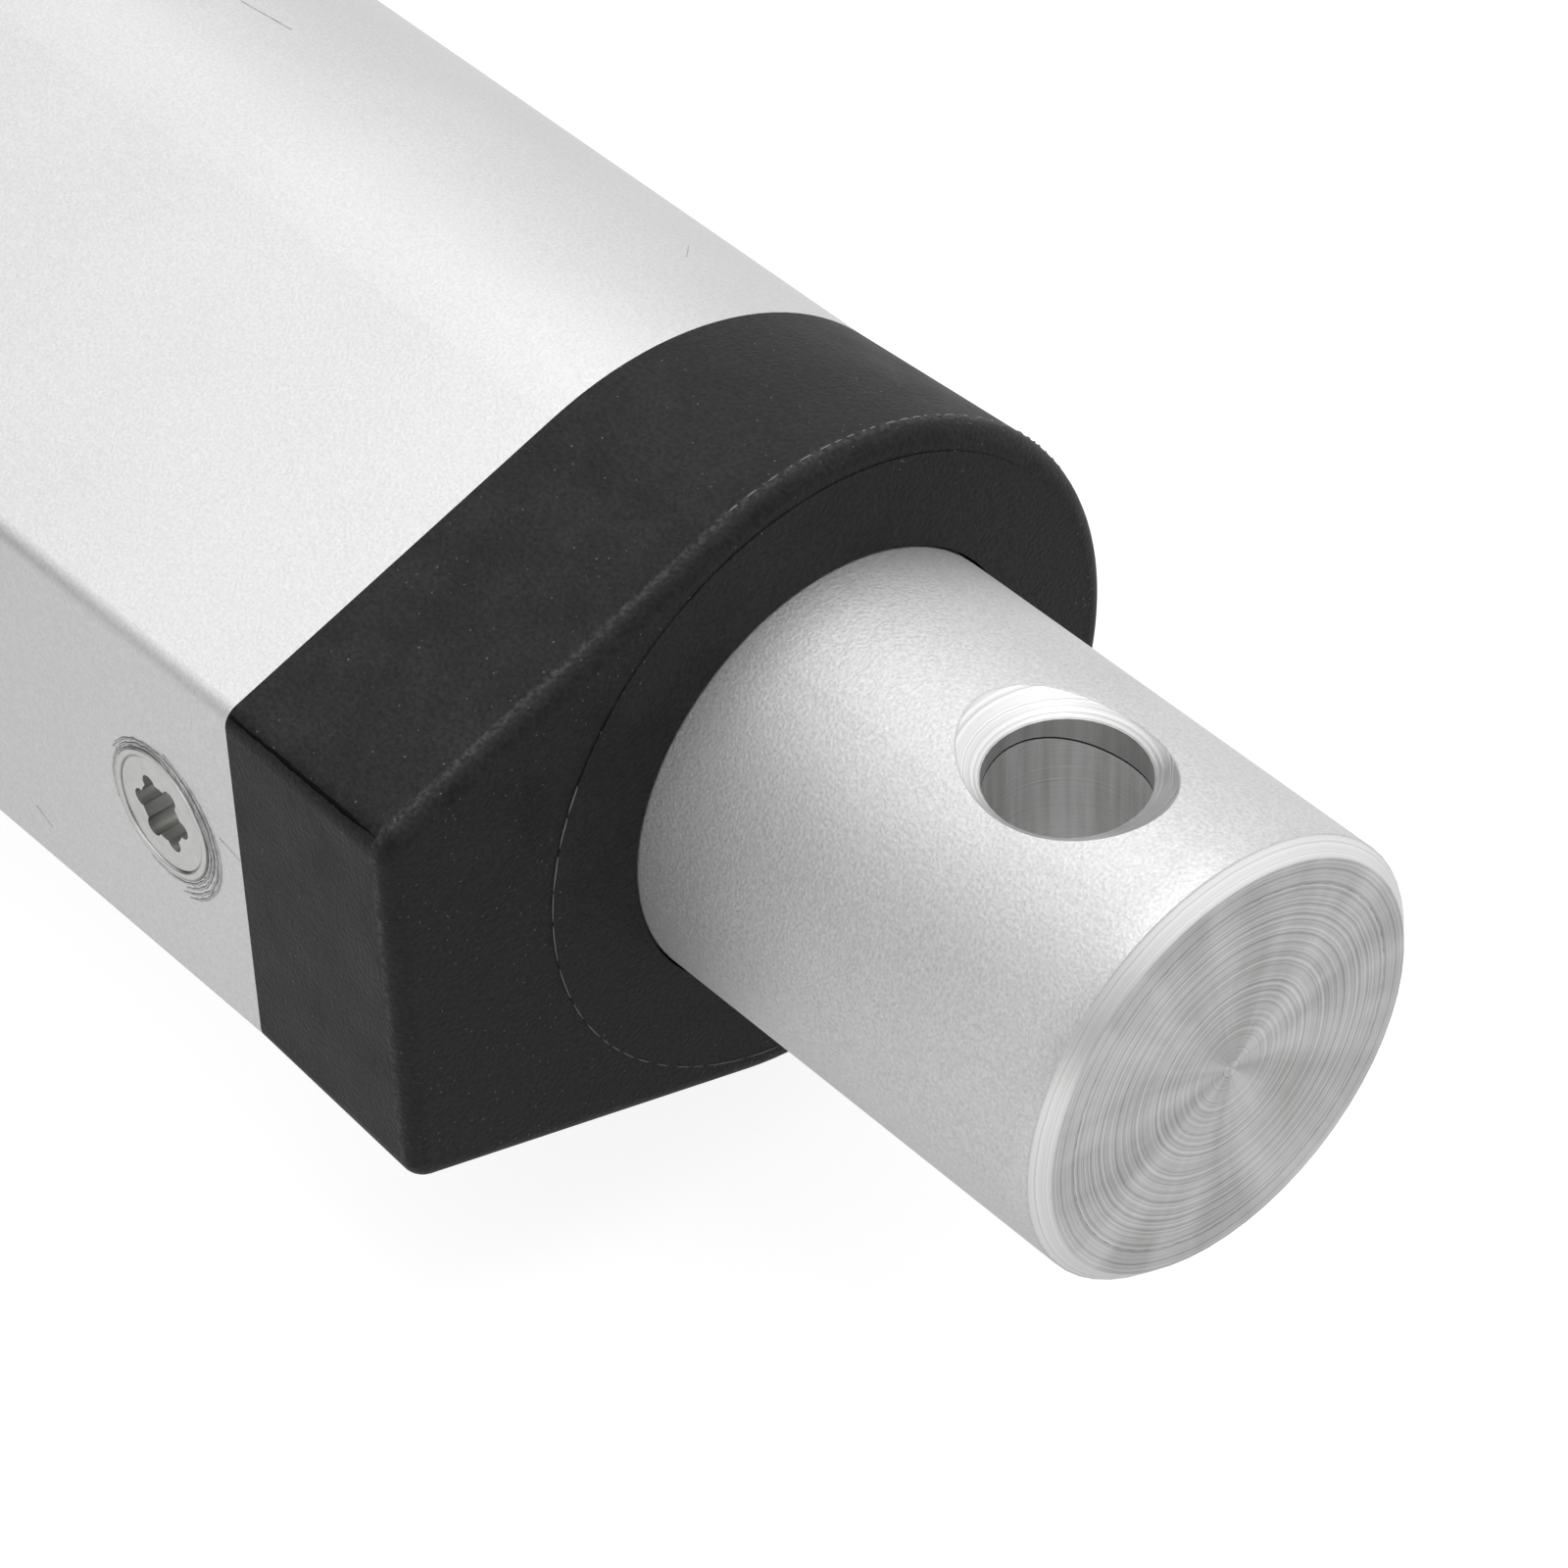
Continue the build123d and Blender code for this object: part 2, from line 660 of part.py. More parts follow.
# Front casting: gear space, front bearing seat, plug for the tube and seat for the motor
with BuildPart() as gearbox_housing:
    with BuildSketch(across(housing_start)):
        add(gearbox_outline())
    extrude(amount=tube_start - housing_start)
    front_rim = gearbox_housing.faces().sort_by(Axis.X)[-1].edges()
    fillet(front_rim, gearbox_edge_radius / 2)
    with BuildSketch(across(housing_start)):
        add(gearbox_outline(casting_wall))
        with Locations(*cover_screw_places()):
            Circle(cover_boss_radius, mode=Mode.SUBTRACT)
    extrude(amount=wall_inside - housing_start, mode=Mode.SUBTRACT)
    with BuildSketch(across(tube_start)):
        add(teardrop(-tube_wall - plug_gap, tube_corner_radius / 2))
        with Locations((-motor_distance, 0)):
            Circle(motor_bore_radius - press_gap)
            Circle(motor_bore_radius - press_gap - motor_spigot_wall, mode=Mode.SUBTRACT)
    extrude(amount=motor_spigot_length)
    with BuildSketch(across(tube_start)):
        add(teardrop(-tube_wall - plug_gap, tube_corner_radius / 2))
    extrude(amount=spigot_length)
    with Locations(across(wall_inside)):
        Cylinder(
            bearing_radius + press_gap, screw_shoulder - wall_inside, align=BASE, mode=Mode.SUBTRACT
        )
        Cylinder(split_outer, spigot_end - wall_inside, align=BASE, mode=Mode.SUBTRACT)
    with Locations(across(wall_inside, -motor_distance)):
        Cylinder(can_boss_radius + hole_gap, front_wall, align=BASE, mode=Mode.SUBTRACT)
        with Locations((0, motor_screw_offset), (0, -motor_screw_offset)):
            Cylinder(motor_screw_radius + hole_gap, front_wall, align=BASE, mode=Mode.SUBTRACT)
    with Locations(across(idler_boss_start, -idler_distance)):
        Cylinder(idler_boss_radius, idler_boss_height, align=BASE)
        Cylinder(
            idler_axle_radius + press_gap, axle_seat_depth + press_gap, align=BASE, mode=Mode.SUBTRACT
        )
    with Locations(across(wall_inside, -board_top, wire_slot_offset)):
        Box(
            wire_slot_height,
            wire_slot_width,
            spigot_end - wall_inside,
            align=(Align.MIN, Align.MIN, Align.MIN),
            mode=Mode.SUBTRACT,
        )
    for y, z in cover_screw_places():
        with Locations(across(housing_start, y, z)):
            Cylinder(
                cover_screw_radius + press_gap,
                cover_screw_length - (housing_start - cover_rear) + cover_screw_head_height + free_gap,
                align=BASE,
                mode=Mode.SUBTRACT,
            )
    with Locations(flat_side(tube_start + tube_screw_setback)):
        Cylinder(
            tube_screw_radius + press_gap, tube_screw_length + free_gap, align=TOP, mode=Mode.SUBTRACT
        )
save(gearbox_housing, "gearbox_housing")

# Gasket between the two castings
with BuildPart() as gearbox_gasket:
    with BuildSketch(across(gasket_start)):
        add(gearbox_outline())
        add(gearbox_outline(casting_wall), mode=Mode.SUBTRACT)
        with Locations(*cover_screw_places()):
            Circle(cover_boss_radius)
        with Locations(*cover_screw_places()):
            Circle(cover_screw_radius + hole_gap, mode=Mode.SUBTRACT)
    extrude(amount=gasket_thickness)
save(gearbox_gasket, "gearbox_gasket")

# Rear lug, rounded along its edges, as a piece that the rear casting takes in
with BuildPart() as rear_lug:
    with BuildSketch(Plane.XY.offset(-lug_thickness / 2)):
        Circle(lug_radius)
        Rectangle(cover_inside, 2 * lug_radius, align=(Align.MIN, Align.CENTER))
    extrude(amount=lug_thickness)
    lug_sides = rear_lug.faces().sort_by(Axis.Z)
    lug_edges = lug_sides[0].edges() + lug_sides[-1].edges()
    fillet([edge for edge in lug_edges if edge.center().X < cover_rear], lug_edge_radius)

# Rear casting: closes the gearbox, seats the rear bearing and carries the lug with the rear eye
with BuildPart() as gearbox_cover:
    with BuildSketch(across(cover_rear)):
        add(gearbox_outline())
    extrude(amount=gasket_start - cover_rear)
    fillet(gearbox_cover.faces().sort_by(Axis.X)[0].edges(), gearbox_edge_radius)
    with Locations(across(cover_rear)):
        Cylinder(lug_field_radius, field_height, align=TOP)
    with Locations(across(cover_rear, -motor_distance)):
        Cylinder(motor_field_radius, field_height, align=TOP)
    fillet(gearbox_cover.edges().group_by(Axis.X)[0], field_edge_radius)
    add(rear_lug.part)
    at_field = gearbox_cover.edges().filter_by(lambda edge: abs(edge.center().X - field_face) < hole_gap)
    fillet(at_field.filter_by(lambda edge: edge.length < lug_field_radius + lug_radius), lug_root_radius)
    with BuildSketch(across(cover_inside)):
        add(gearbox_outline(casting_wall))
        Circle(bearing_radius + bearing_boss_wall, mode=Mode.SUBTRACT)
        with Locations(*cover_screw_places()):
            Circle(cover_boss_radius, mode=Mode.SUBTRACT)
    extrude(amount=gasket_start - cover_inside, mode=Mode.SUBTRACT)
    with Locations(across(cover_inside, -idler_distance)):
        Cylinder(
            idler_boss_radius, rim_start - washer_thickness - cover_inside, align=BASE
        )
    with Locations(across(cover_inside)):
        Cylinder(clip_space_radius, clip_space, align=BASE, mode=Mode.SUBTRACT)
    with Locations(across(rear_bearing_start)):
        Cylinder(
            bearing_radius + press_gap, gasket_start - rear_bearing_start, align=BASE, mode=Mode.SUBTRACT
        )
    with Locations(across(axle_start, -idler_distance)):
        Cylinder(
            idler_axle_radius + press_gap, gasket_start - axle_start, align=BASE, mode=Mode.SUBTRACT
        )
    for y, z in cover_screw_places():
        with Locations(across(cover_rear, y, z)):
            Cylinder(cover_screw_radius + hole_gap, gasket_start, align=BASE, mode=Mode.SUBTRACT)
            Cylinder(
                cover_screw_head_radius + hole_gap, cover_screw_head_height, align=BASE, mode=Mode.SUBTRACT
            )
    Cylinder(eye_radius, 2 * lug_thickness, mode=Mode.SUBTRACT)
    for facing in (1, -1):
        mouth = Plane(origin=(0, 0, facing * lug_thickness / 2), x_dir=(1, 0, 0), z_dir=(0, 0, facing))
        with Locations(mouth):
            Cone(
                eye_radius, eye_radius + lug_bore_chamfer, lug_bore_chamfer, align=TOP, mode=Mode.SUBTRACT
            )
save(gearbox_cover, "gearbox_cover")

# The four screws that close the gearbox, sunk in the cover
with BuildPart() as gearbox_screws:
    for y, z in cover_screw_places():
        with Locations(across(cover_rear, y, z)):
            Cylinder(cover_screw_head_radius, cover_screw_head_height, align=BASE)
            Cylinder(cover_screw_radius, cover_screw_head_height + cover_screw_length, align=BASE)
    for y, z in cover_screw_places():
        with BuildSketch(across(cover_rear, y, z)):
            Circle(lobe_reach)
            with PolarLocations(lobe_reach, 6):
                Circle(lobe_radius)
        extrude(amount=lobe_recess_depth, mode=Mode.SUBTRACT)
save(gearbox_screws, "gearbox_screws")

# Motor can, with a boss that seats in the gearbox wall and two threaded holes
with BuildPart(across(tube_start, -motor_distance)) as motor_can:
    Cylinder(motor_radius, motor_length, align=BASE)
    chamfer(motor_can.faces().sort_by(Axis.X)[0].edges(), can_wall / 2)
    with Locations((0, 0, can_wall)):
        Cylinder(can_bore_radius, motor_length, align=BASE, mode=Mode.SUBTRACT)
    Cylinder(can_boss_radius, can_boss_length, align=TOP)
    with Locations((0, 0, -can_boss_length)):
        Cylinder(
            shaft_radius + running_gap, can_boss_length + can_wall, align=BASE, mode=Mode.SUBTRACT
        )
    with Locations((0, motor_screw_offset), (0, -motor_screw_offset)):
        Cylinder(motor_screw_radius + hole_gap, can_wall, align=BASE, mode=Mode.SUBTRACT)
save(motor_can, "motor_can")

with BuildPart() as motor_screws:
    for z in (motor_screw_offset, -motor_screw_offset):
        with Locations(across(wall_inside, -motor_distance, z)):
            Cylinder(motor_screw_head_radius, motor_screw_head_height, align=TOP)
            Cylinder(motor_screw_radius, front_wall + can_wall, align=BASE)
save(motor_screws, "motor_screws")

# Motor magnets: two arcs against the can
bell_start = motor_end - end_bell_thickness
brush_start = bell_start - brush_length - commutator_length / 2
commutator_start = brush_start - (commutator_length - brush_length) / 2
armature_begin = tube_start + armature_start
armature_length = commutator_start - winding_to_commutator - winding_overhang - armature_begin
magnet_start = armature_begin - winding_overhang
magnet_length = armature_length + 2 * winding_overhang
magnet_bore_radius = can_bore_radius - magnet_thickness
armature_radius = magnet_bore_radius - armature_gap
slot_radius = armature_radius * slot_share
slot_place = armature_radius * slot_place_share
with BuildPart() as motor_magnets:
    with BuildSketch(across(magnet_start, -motor_distance)):
        Circle(can_bore_radius - press_gap)
        Circle(magnet_bore_radius, mode=Mode.SUBTRACT)
        gap_half_height = can_bore_radius * cos(radians(magnet_half_angle))
        Rectangle(2 * can_bore_radius, 2 * gap_half_height, mode=Mode.SUBTRACT)
    extrude(amount=magnet_length)
save(motor_magnets, "motor_magnets")

# Rotor: shaft, slotted core, windings in the slots, commutator and pinion
pinion_start = idler_large_start - hole_gap
shaft_end = motor_end - press_gap
with BuildPart(across(pinion_start, -motor_distance)) as motor_shaft:
    Cylinder(shaft_radius, shaft_end - pinion_start, align=BASE)
save(motor_shaft, "motor_shaft")

with BuildPart() as armature_core:
    with BuildSketch(across(armature_begin, -motor_distance)):
        Circle(armature_radius)
        with PolarLocations(slot_place, slot_count):
            Circle(slot_radius, mode=Mode.SUBTRACT)
            Rectangle(
                armature_radius, slot_mouth, align=(Align.MIN, Align.CENTER), mode=Mode.SUBTRACT
            )
        Circle(shaft_radius + press_gap, mode=Mode.SUBTRACT)
    extrude(amount=armature_length)
save(armature_core, "armature_core")

with BuildPart(across(armature_begin - winding_overhang, -motor_distance)) as armature_windings:
    with PolarLocations(slot_place, slot_count):
        Cylinder(slot_radius - press_gap, armature_length + 2 * winding_overhang, align=BASE)
save(armature_windings, "armature_windings")

commutator = sleeve(
    commutator_start, commutator_length, commutator_radius, shaft_radius + press_gap, -motor_distance
)
save(commutator, "commutator")

with BuildPart() as motor_pinion:
    with BuildSketch(across(pinion_start, -motor_distance)):
        add(gear_outline(pinion_teeth, pinion_module, addendum_shift, 180 / pinion_teeth))
        Circle(shaft_radius + press_gap, mode=Mode.SUBTRACT)
    extrude(amount=idler_large_width + 2 * hole_gap)
save(motor_pinion, "motor_pinion")

# Motor end bell, with its brushes and terminals
with BuildPart(across(bell_start, -motor_distance)) as motor_end_bell:
    Cylinder(can_bore_radius - press_gap, end_bell_thickness, align=BASE)
    Cylinder(shaft_radius + running_gap, end_bell_thickness, align=BASE, mode=Mode.SUBTRACT)
    with Locations((0, terminal_offset), (0, -terminal_offset)):
        Box(
            terminal_width + 2 * press_gap,
            terminal_thickness + 2 * press_gap,
            end_bell_thickness,
            align=BASE,
            mode=Mode.SUBTRACT,
        )
save(motor_end_bell, "motor_end_bell")

brush_foot = commutator_radius + free_gap
with BuildPart() as motor_brushes:
    for side in (1, -1):
        brush_y = -motor_distance + side * (brush_foot + brush_depth / 2)
        arm_y = -motor_distance + side * (brush_foot + brush_depth + brush_arm_thickness / 2)
        with Locations(across(brush_start, brush_y)):
            Box(brush_depth, brush_width, brush_length, align=BASE)
        with Locations(across(brush_start, arm_y)):
            Box(brush_arm_thickness, brush_width, bell_start - brush_start, align=BASE)
save(motor_brushes, "motor_brushes")

with BuildPart(across(bell_start - terminal_root, -motor_distance)) as motor_terminals:
    with Locations((0, terminal_offset), (0, -terminal_offset)):
        Box(
            terminal_width,
            terminal_thickness,
            terminal_root + end_bell_thickness + terminal_reach,
            align=BASE,
        )
save(motor_terminals, "motor_terminals")

# Motor housing tube, its end cap, the cap's seal and the cable grommet
motor_housing = sleeve(
    tube_start,
    motor_housing_end - tube_start,
    motor_housing_radius,
    motor_bore_radius,
    -motor_distance,
)
save(motor_housing, "motor_housing")

plug_radius = motor_bore_radius - press_gap
seal_place = motor_housing_end - end_cap_plug_length / 2
with BuildPart(across(motor_housing_end, -motor_distance)) as motor_end_cap:
    Cylinder(motor_housing_radius, end_cap_thickness, align=BASE)
    fillet(motor_end_cap.faces().sort_by(Axis.X)[-1].edges(), end_cap_edge_radius)
    Cylinder(plug_radius, end_cap_plug_length, align=TOP)
    with Locations((0, 0, end_cap_thickness - end_cap_floor)):
        Cylinder(
            plug_radius - end_cap_plug_wall,
            end_cap_thickness - end_cap_floor + end_cap_plug_length,
            align=TOP,
            mode=Mode.SUBTRACT,
        )
    Cylinder(grommet_neck_radius + press_gap, end_cap_thickness, align=BASE, mode=Mode.SUBTRACT)
    with BuildSketch(across(seal_place - seal_ring_radius, -motor_distance)):
        Circle(plug_radius)
        Circle(plug_radius - 2 * seal_ring_radius, mode=Mode.SUBTRACT)
    extrude(amount=2 * seal_ring_radius, mode=Mode.SUBTRACT)
save(motor_end_cap, "motor_end_cap")

with BuildPart(across(seal_place, -motor_distance)) as motor_cap_seal:
    Torus(plug_radius - seal_ring_radius - press_gap, seal_ring_radius - press_gap)
save(motor_cap_seal, "motor_cap_seal")

grommet_inside = motor_housing_end + end_cap_thickness - end_cap_floor
grommet_outside = motor_housing_end + end_cap_thickness
grommet_end = grommet_outside + grommet_nose_length
with BuildPart(across(grommet_inside - grommet_flange_thickness, -motor_distance)) as cable_grommet:
    Cylinder(grommet_flange_radius, grommet_flange_thickness, align=BASE)
    Cylinder(grommet_neck_radius, grommet_outside - grommet_inside + grommet_flange_thickness, align=BASE)
    with Locations((0, 0, grommet_outside - grommet_inside + grommet_flange_thickness)):
        Cone(grommet_flange_radius, grommet_nose_radius, grommet_nose_length, align=BASE)
    Cylinder(
        cable_radius, grommet_end - grommet_inside + grommet_flange_thickness, align=BASE, mode=Mode.SUBTRACT
    )
save(cable_grommet, "cable_grommet")

# Limit switch board on the tube's flat side, from the gearbox's plug to the cap's plug
with BuildPart(across(spigot_end, -tube_floor + press_gap)) as switch_board:
    Box(
        board_thickness - press_gap,
        board_width,
        cap_plug_start - spigot_end,
        align=UP_FROM_AXIS,
    )
save(switch_board, "switch_board")

# Limit switches, and the plungers that the nut's tab meets at each end of the stroke
plunger_y = -board_top + switch_height / 2
plunger_hole_depth = plunger_depth + plunger_travel + plunger_spare
for name, body_start, mouth, facing in (
    ("rear", rear_switch_start, rear_switch_start + switch_length, 1),
    ("front", front_switch_end - switch_length, front_switch_end - switch_length, -1),
):
    into_switch = Plane(origin=(mouth, plunger_y, 0), x_dir=(0, 1, 0), z_dir=(facing, 0, 0))
    with BuildPart() as limit_switch:
        with Locations(across(body_start, -board_top)):
            Box(switch_height, switch_width, switch_length, align=UP_FROM_AXIS)
        with Locations(into_switch):
            Cylinder(
                plunger_radius + running_gap, plunger_hole_depth, align=TOP, mode=Mode.SUBTRACT
            )
    save(limit_switch, f"{name}_limit_switch")
    with BuildPart() as switch_plunger:
        with Locations(into_switch.offset(-plunger_depth)):
            Cylinder(plunger_radius, plunger_depth + plunger_reach, align=BASE)
        tip_edges = switch_plunger.faces().sort_by(Axis.X)[0 if facing < 0 else -1].edges()
        fillet(tip_edges, plunger_radius / 2)
    save(switch_plunger, f"{name}_switch_plunger")
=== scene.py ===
import bpy
import bmesh
import json
import math
import random
from mathutils import Matrix, Vector


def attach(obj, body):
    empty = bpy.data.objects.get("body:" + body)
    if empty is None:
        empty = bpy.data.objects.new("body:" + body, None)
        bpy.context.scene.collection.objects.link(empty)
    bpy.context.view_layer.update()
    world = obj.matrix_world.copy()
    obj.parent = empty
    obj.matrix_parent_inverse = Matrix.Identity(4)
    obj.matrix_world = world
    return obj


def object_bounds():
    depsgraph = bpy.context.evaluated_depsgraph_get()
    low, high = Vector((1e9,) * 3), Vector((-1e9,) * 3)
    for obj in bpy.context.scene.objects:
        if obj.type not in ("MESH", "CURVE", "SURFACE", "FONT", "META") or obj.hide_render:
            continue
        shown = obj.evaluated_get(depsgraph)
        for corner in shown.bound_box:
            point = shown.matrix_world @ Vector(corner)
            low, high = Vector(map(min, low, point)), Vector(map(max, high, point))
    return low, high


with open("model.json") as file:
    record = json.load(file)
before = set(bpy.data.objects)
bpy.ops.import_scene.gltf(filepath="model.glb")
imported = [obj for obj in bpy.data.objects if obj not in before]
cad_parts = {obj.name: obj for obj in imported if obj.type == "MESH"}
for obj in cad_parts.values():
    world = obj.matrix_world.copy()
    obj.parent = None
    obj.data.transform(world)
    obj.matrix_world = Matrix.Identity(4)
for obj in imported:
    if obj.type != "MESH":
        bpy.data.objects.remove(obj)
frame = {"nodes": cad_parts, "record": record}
cad_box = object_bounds()
nodes = frame["nodes"]
mounts = {mount["name"]: mount for mount in frame["record"]["mounts"]}
MM = 0.001
X, Y, Z = 0, 1, 2


def edge_of(node, axis, toward):
    """The last place of a node along an axis, in millimetres, where toward is min or max."""
    piece = nodes[node]
    along_axis = [(piece.matrix_world @ vertex.co)[axis] for vertex in piece.data.vertices]
    return round(toward(along_axis) / MM, 3)


# Places and sizes in millimetres. The frame gives these.
TUBE_START = edge_of("outer_tube", X, min)
TUBE_END = edge_of("outer_tube", X, max)
TUBE_FLAT = -edge_of("outer_tube", Y, min)
ROD_RADIUS = edge_of("rod_tube", Z, max)
ROD_END = edge_of("rod_tube", X, max)
GROMMET_START = edge_of("motor_end_cap", X, max)
ROD_EYE = round(mounts["rod_eye"]["pos_m"][X] / MM, 3)
BORE_RADIUS = mounts["rod_eye"]["dims"]["r_mm"]
MOTOR_Y = round(mounts["cable_inlet"]["pos_m"][Y] / MM, 3)

# These lie inside a piece or on its curved side, where the frame's facets are only near them
TUBE_RADIUS = 15.0
# From the tube's end to the cap's face, and how much wider the cap is at its face than at the tube
CAP_LENGTH = 10.5
CAP_FACE = TUBE_END + CAP_LENGTH
CAP_GROWTH = 0.43
# The edge of the round insert in the cap's face, and the rounding round that face
CAP_RING_RADIUS = TUBE_RADIUS - 0.75
CAP_FRONT_RADIUS = 0.85
# The rounding along the cap's two lower corners, whose middle lines stand at this height
CAP_CORNER_RADIUS = 0.9
CAP_CORNER_Z = 8.18
# The cross hole's countersink at the rod's surface, and the inside of the rod's wall
SINK_RADIUS = 4.84
WALL_RADIUS = 8.2
# A tube screw's middle from the tube's end, and the face of the cover's raised field
SCREW_SETBACK = 5.4
FIELD_FACE = 9.8

# The Mix node's sockets share their names, so they go by number: its share, its two numbers, its
# two colours, and the colour that comes out
SHARE, NUMBER_A, NUMBER_B, COLOUR_A, COLOUR_B = 0, 2, 3, 6, 7
MIXED_COLOUR = 2


def linear(hex_colour):
    """An sRGB hex colour as the linear RGBA that Blender's sockets take."""
    channels = [int(hex_colour[i:i + 2], 16) / 255 for i in (1, 3, 5)]
    return [c / 12.92 if c <= 0.04045 else ((c + 0.055) / 1.055) ** 2.4 for c in channels] + [1.0]


def add(tree, kind, inputs=None, **settings):
    """Add a node with its settings. An input is a value, or a node or socket to link from."""
    node = tree.nodes.new(kind)
    for name, value in settings.items():
        setattr(node, name, value)
    for name, value in (inputs or {}).items():
        if isinstance(value, bpy.types.Node):
            value = value.outputs[0]
        if isinstance(value, bpy.types.NodeSocket):
            tree.links.new(value, node.inputs[name])
        else:
            node.inputs[name].default_value = value
    return node


def start_finish(name):
    """A new material with its tree, and a point's place on the part in millimetres."""
    material = bpy.data.materials.new(name)
    material.use_nodes = True
    tree = material.node_tree
    tree.nodes.clear()
    at = add(tree, "ShaderNodeTexCoord").outputs["Object"]
    place = add(tree, "ShaderNodeVectorMath", {0: at, "Scale": 1 / MM}, operation="SCALE")
    return material, tree, place


def end_finish(material, inputs):
    """Give a finish its surface, from constants and the sockets that vary over the part."""
    surface = add(material.node_tree, "ShaderNodeBsdfPrincipled", inputs)
    add(material.node_tree, "ShaderNodeOutputMaterial", {"Surface": surface})
    return material


def across_axis(tree, place, axis_y=0.0):
    """A point's offset from an axis along X, and its distance from that axis, in millimetres."""
    offset = add(tree, "ShaderNodeVectorMath", {0: place, 1: (0, 1, 1), 2: (0, -axis_y, 0)},
                 operation="MULTIPLY_ADD")
    distance = add(tree, "ShaderNodeVectorMath", {0: offset}, operation="LENGTH")
    return offset, distance.outputs["Value"]


def lathe_marks(tree, place, feed, axis_y=0.0):
    """The uneven rings that a turning tool leaves along a round piece and across its end, 0 to 1.

    The tool's path is out minus along, which grows on the side, on the end and on a 45 degree
    chamfer alike. A slow shake of 0.1 mm keeps the rings from being perfect.
    """
    along = add(tree, "ShaderNodeSeparateXYZ", {0: place}).outputs[X]
    out = across_axis(tree, place, axis_y)[1]
    path = add(tree, "ShaderNodeMath", {0: out, 1: along}, operation="SUBTRACT")
    shake = add(tree, "ShaderNodeTexNoise", {"Vector": place, "Scale": 0.8, "Detail": 2.0})
    path = add(tree, "ShaderNodeMath", {0: shake, 1: 0.1, 2: path}, operation="MULTIPLY_ADD")
    return add(tree, "ShaderNodeTexNoise",
               {"W": path, "Scale": 1 / feed, "Detail": 2.0, "Roughness": 0.6},
               noise_dimensions="1D")


def plain_finish(name, dark, light, rough, grain, depth, patch=6.0, feed=None, feed_depth=0.0,
                 axis_y=0.0, **constants):
    """A finish that drifts in patches, with a fine grain and, if a feed is given, lathe marks.

    Grain, depth, patch, feed and feed_depth are in millimetres. The constants are sockets of the
    surface, with an underscore for each space.
    """
    material, tree, place = start_finish(name)
    drift = add(tree, "ShaderNodeTexNoise", {"Vector": place, "Scale": 1 / patch, "Detail": 3.0})
    fine = add(tree, "ShaderNodeTexNoise", {"Vector": place, "Scale": 1 / grain, "Detail": 2.0})
    # The colour follows the patches a little more than the grain
    share = add(tree, "ShaderNodeMath", {0: drift, 1: 0.6}, operation="MULTIPLY")
    share = add(tree, "ShaderNodeMath", {0: fine, 1: 0.4, 2: share}, operation="MULTIPLY_ADD")
    colour = add(tree, "ShaderNodeMix",
                 {SHARE: share, COLOUR_A: linear(dark), COLOUR_B: linear(light)}, data_type="RGBA")
    gloss = add(tree, "ShaderNodeMapRange", {
        "Value": drift, "From Min": 0.3, "From Max": 0.7,
        "To Min": rough - 0.05, "To Max": rough + 0.05})
    relief = add(tree, "ShaderNodeBump", {"Height": fine, "Distance": depth * MM})
    if feed:
        rings = lathe_marks(tree, place, feed, axis_y)
        relief = add(tree, "ShaderNodeBump",
                     {"Height": rings, "Distance": feed_depth * MM, "Normal": relief})
    inputs = {"Base Color": colour.outputs[MIXED_COLOUR], "Roughness": gloss, "Normal": relief}
    inputs.update((socket.replace("_", " "), value) for socket, value in constants.items())
    return end_finish(material, inputs)


def bead_blasted_aluminium(name, dark, light):
    # Extruded aluminium, bead blasted and clear anodised: the dimples scatter the light, so it
    # looks satin and nearly white, with a fine sparkle. Real dimples of 0.1 mm are drawn at
    # 0.14 mm to show. The slow drift is the unevenness of blasting by hand.
    dimple, dimple_depth, drift_size = 0.14, 0.008, 9.0
    material, tree, place = start_finish(name)
    dimples = add(tree, "ShaderNodeTexNoise",
                  {"Vector": place, "Scale": 1 / dimple, "Detail": 1.0})
    drift = add(tree, "ShaderNodeTexNoise",
                {"Vector": place, "Scale": 1 / drift_size, "Detail": 2.0})
    share = add(tree, "ShaderNodeMapRange", {
        "Value": dimples, "From Min": 0.25, "From Max": 0.75, "To Min": 0.2, "To Max": 0.6})
    share = add(tree, "ShaderNodeMath", {0: drift, 1: 0.2, 2: share}, operation="MULTIPLY_ADD")
    colour = add(tree, "ShaderNodeMix",
                 {SHARE: share, COLOUR_A: linear(dark), COLOUR_B: linear(light)}, data_type="RGBA")
    gloss = add(tree, "ShaderNodeMapRange", {
        "Value": drift, "From Min": 0.3, "From Max": 0.7, "To Min": 0.46, "To Max": 0.54})
    relief = add(tree, "ShaderNodeBump", {"Height": dimples, "Distance": dimple_depth * MM})
    return end_finish(material, {
        "Base Color": colour.outputs[MIXED_COLOUR], "Roughness": gloss, "Normal": relief,
        "Metallic": 1.0})


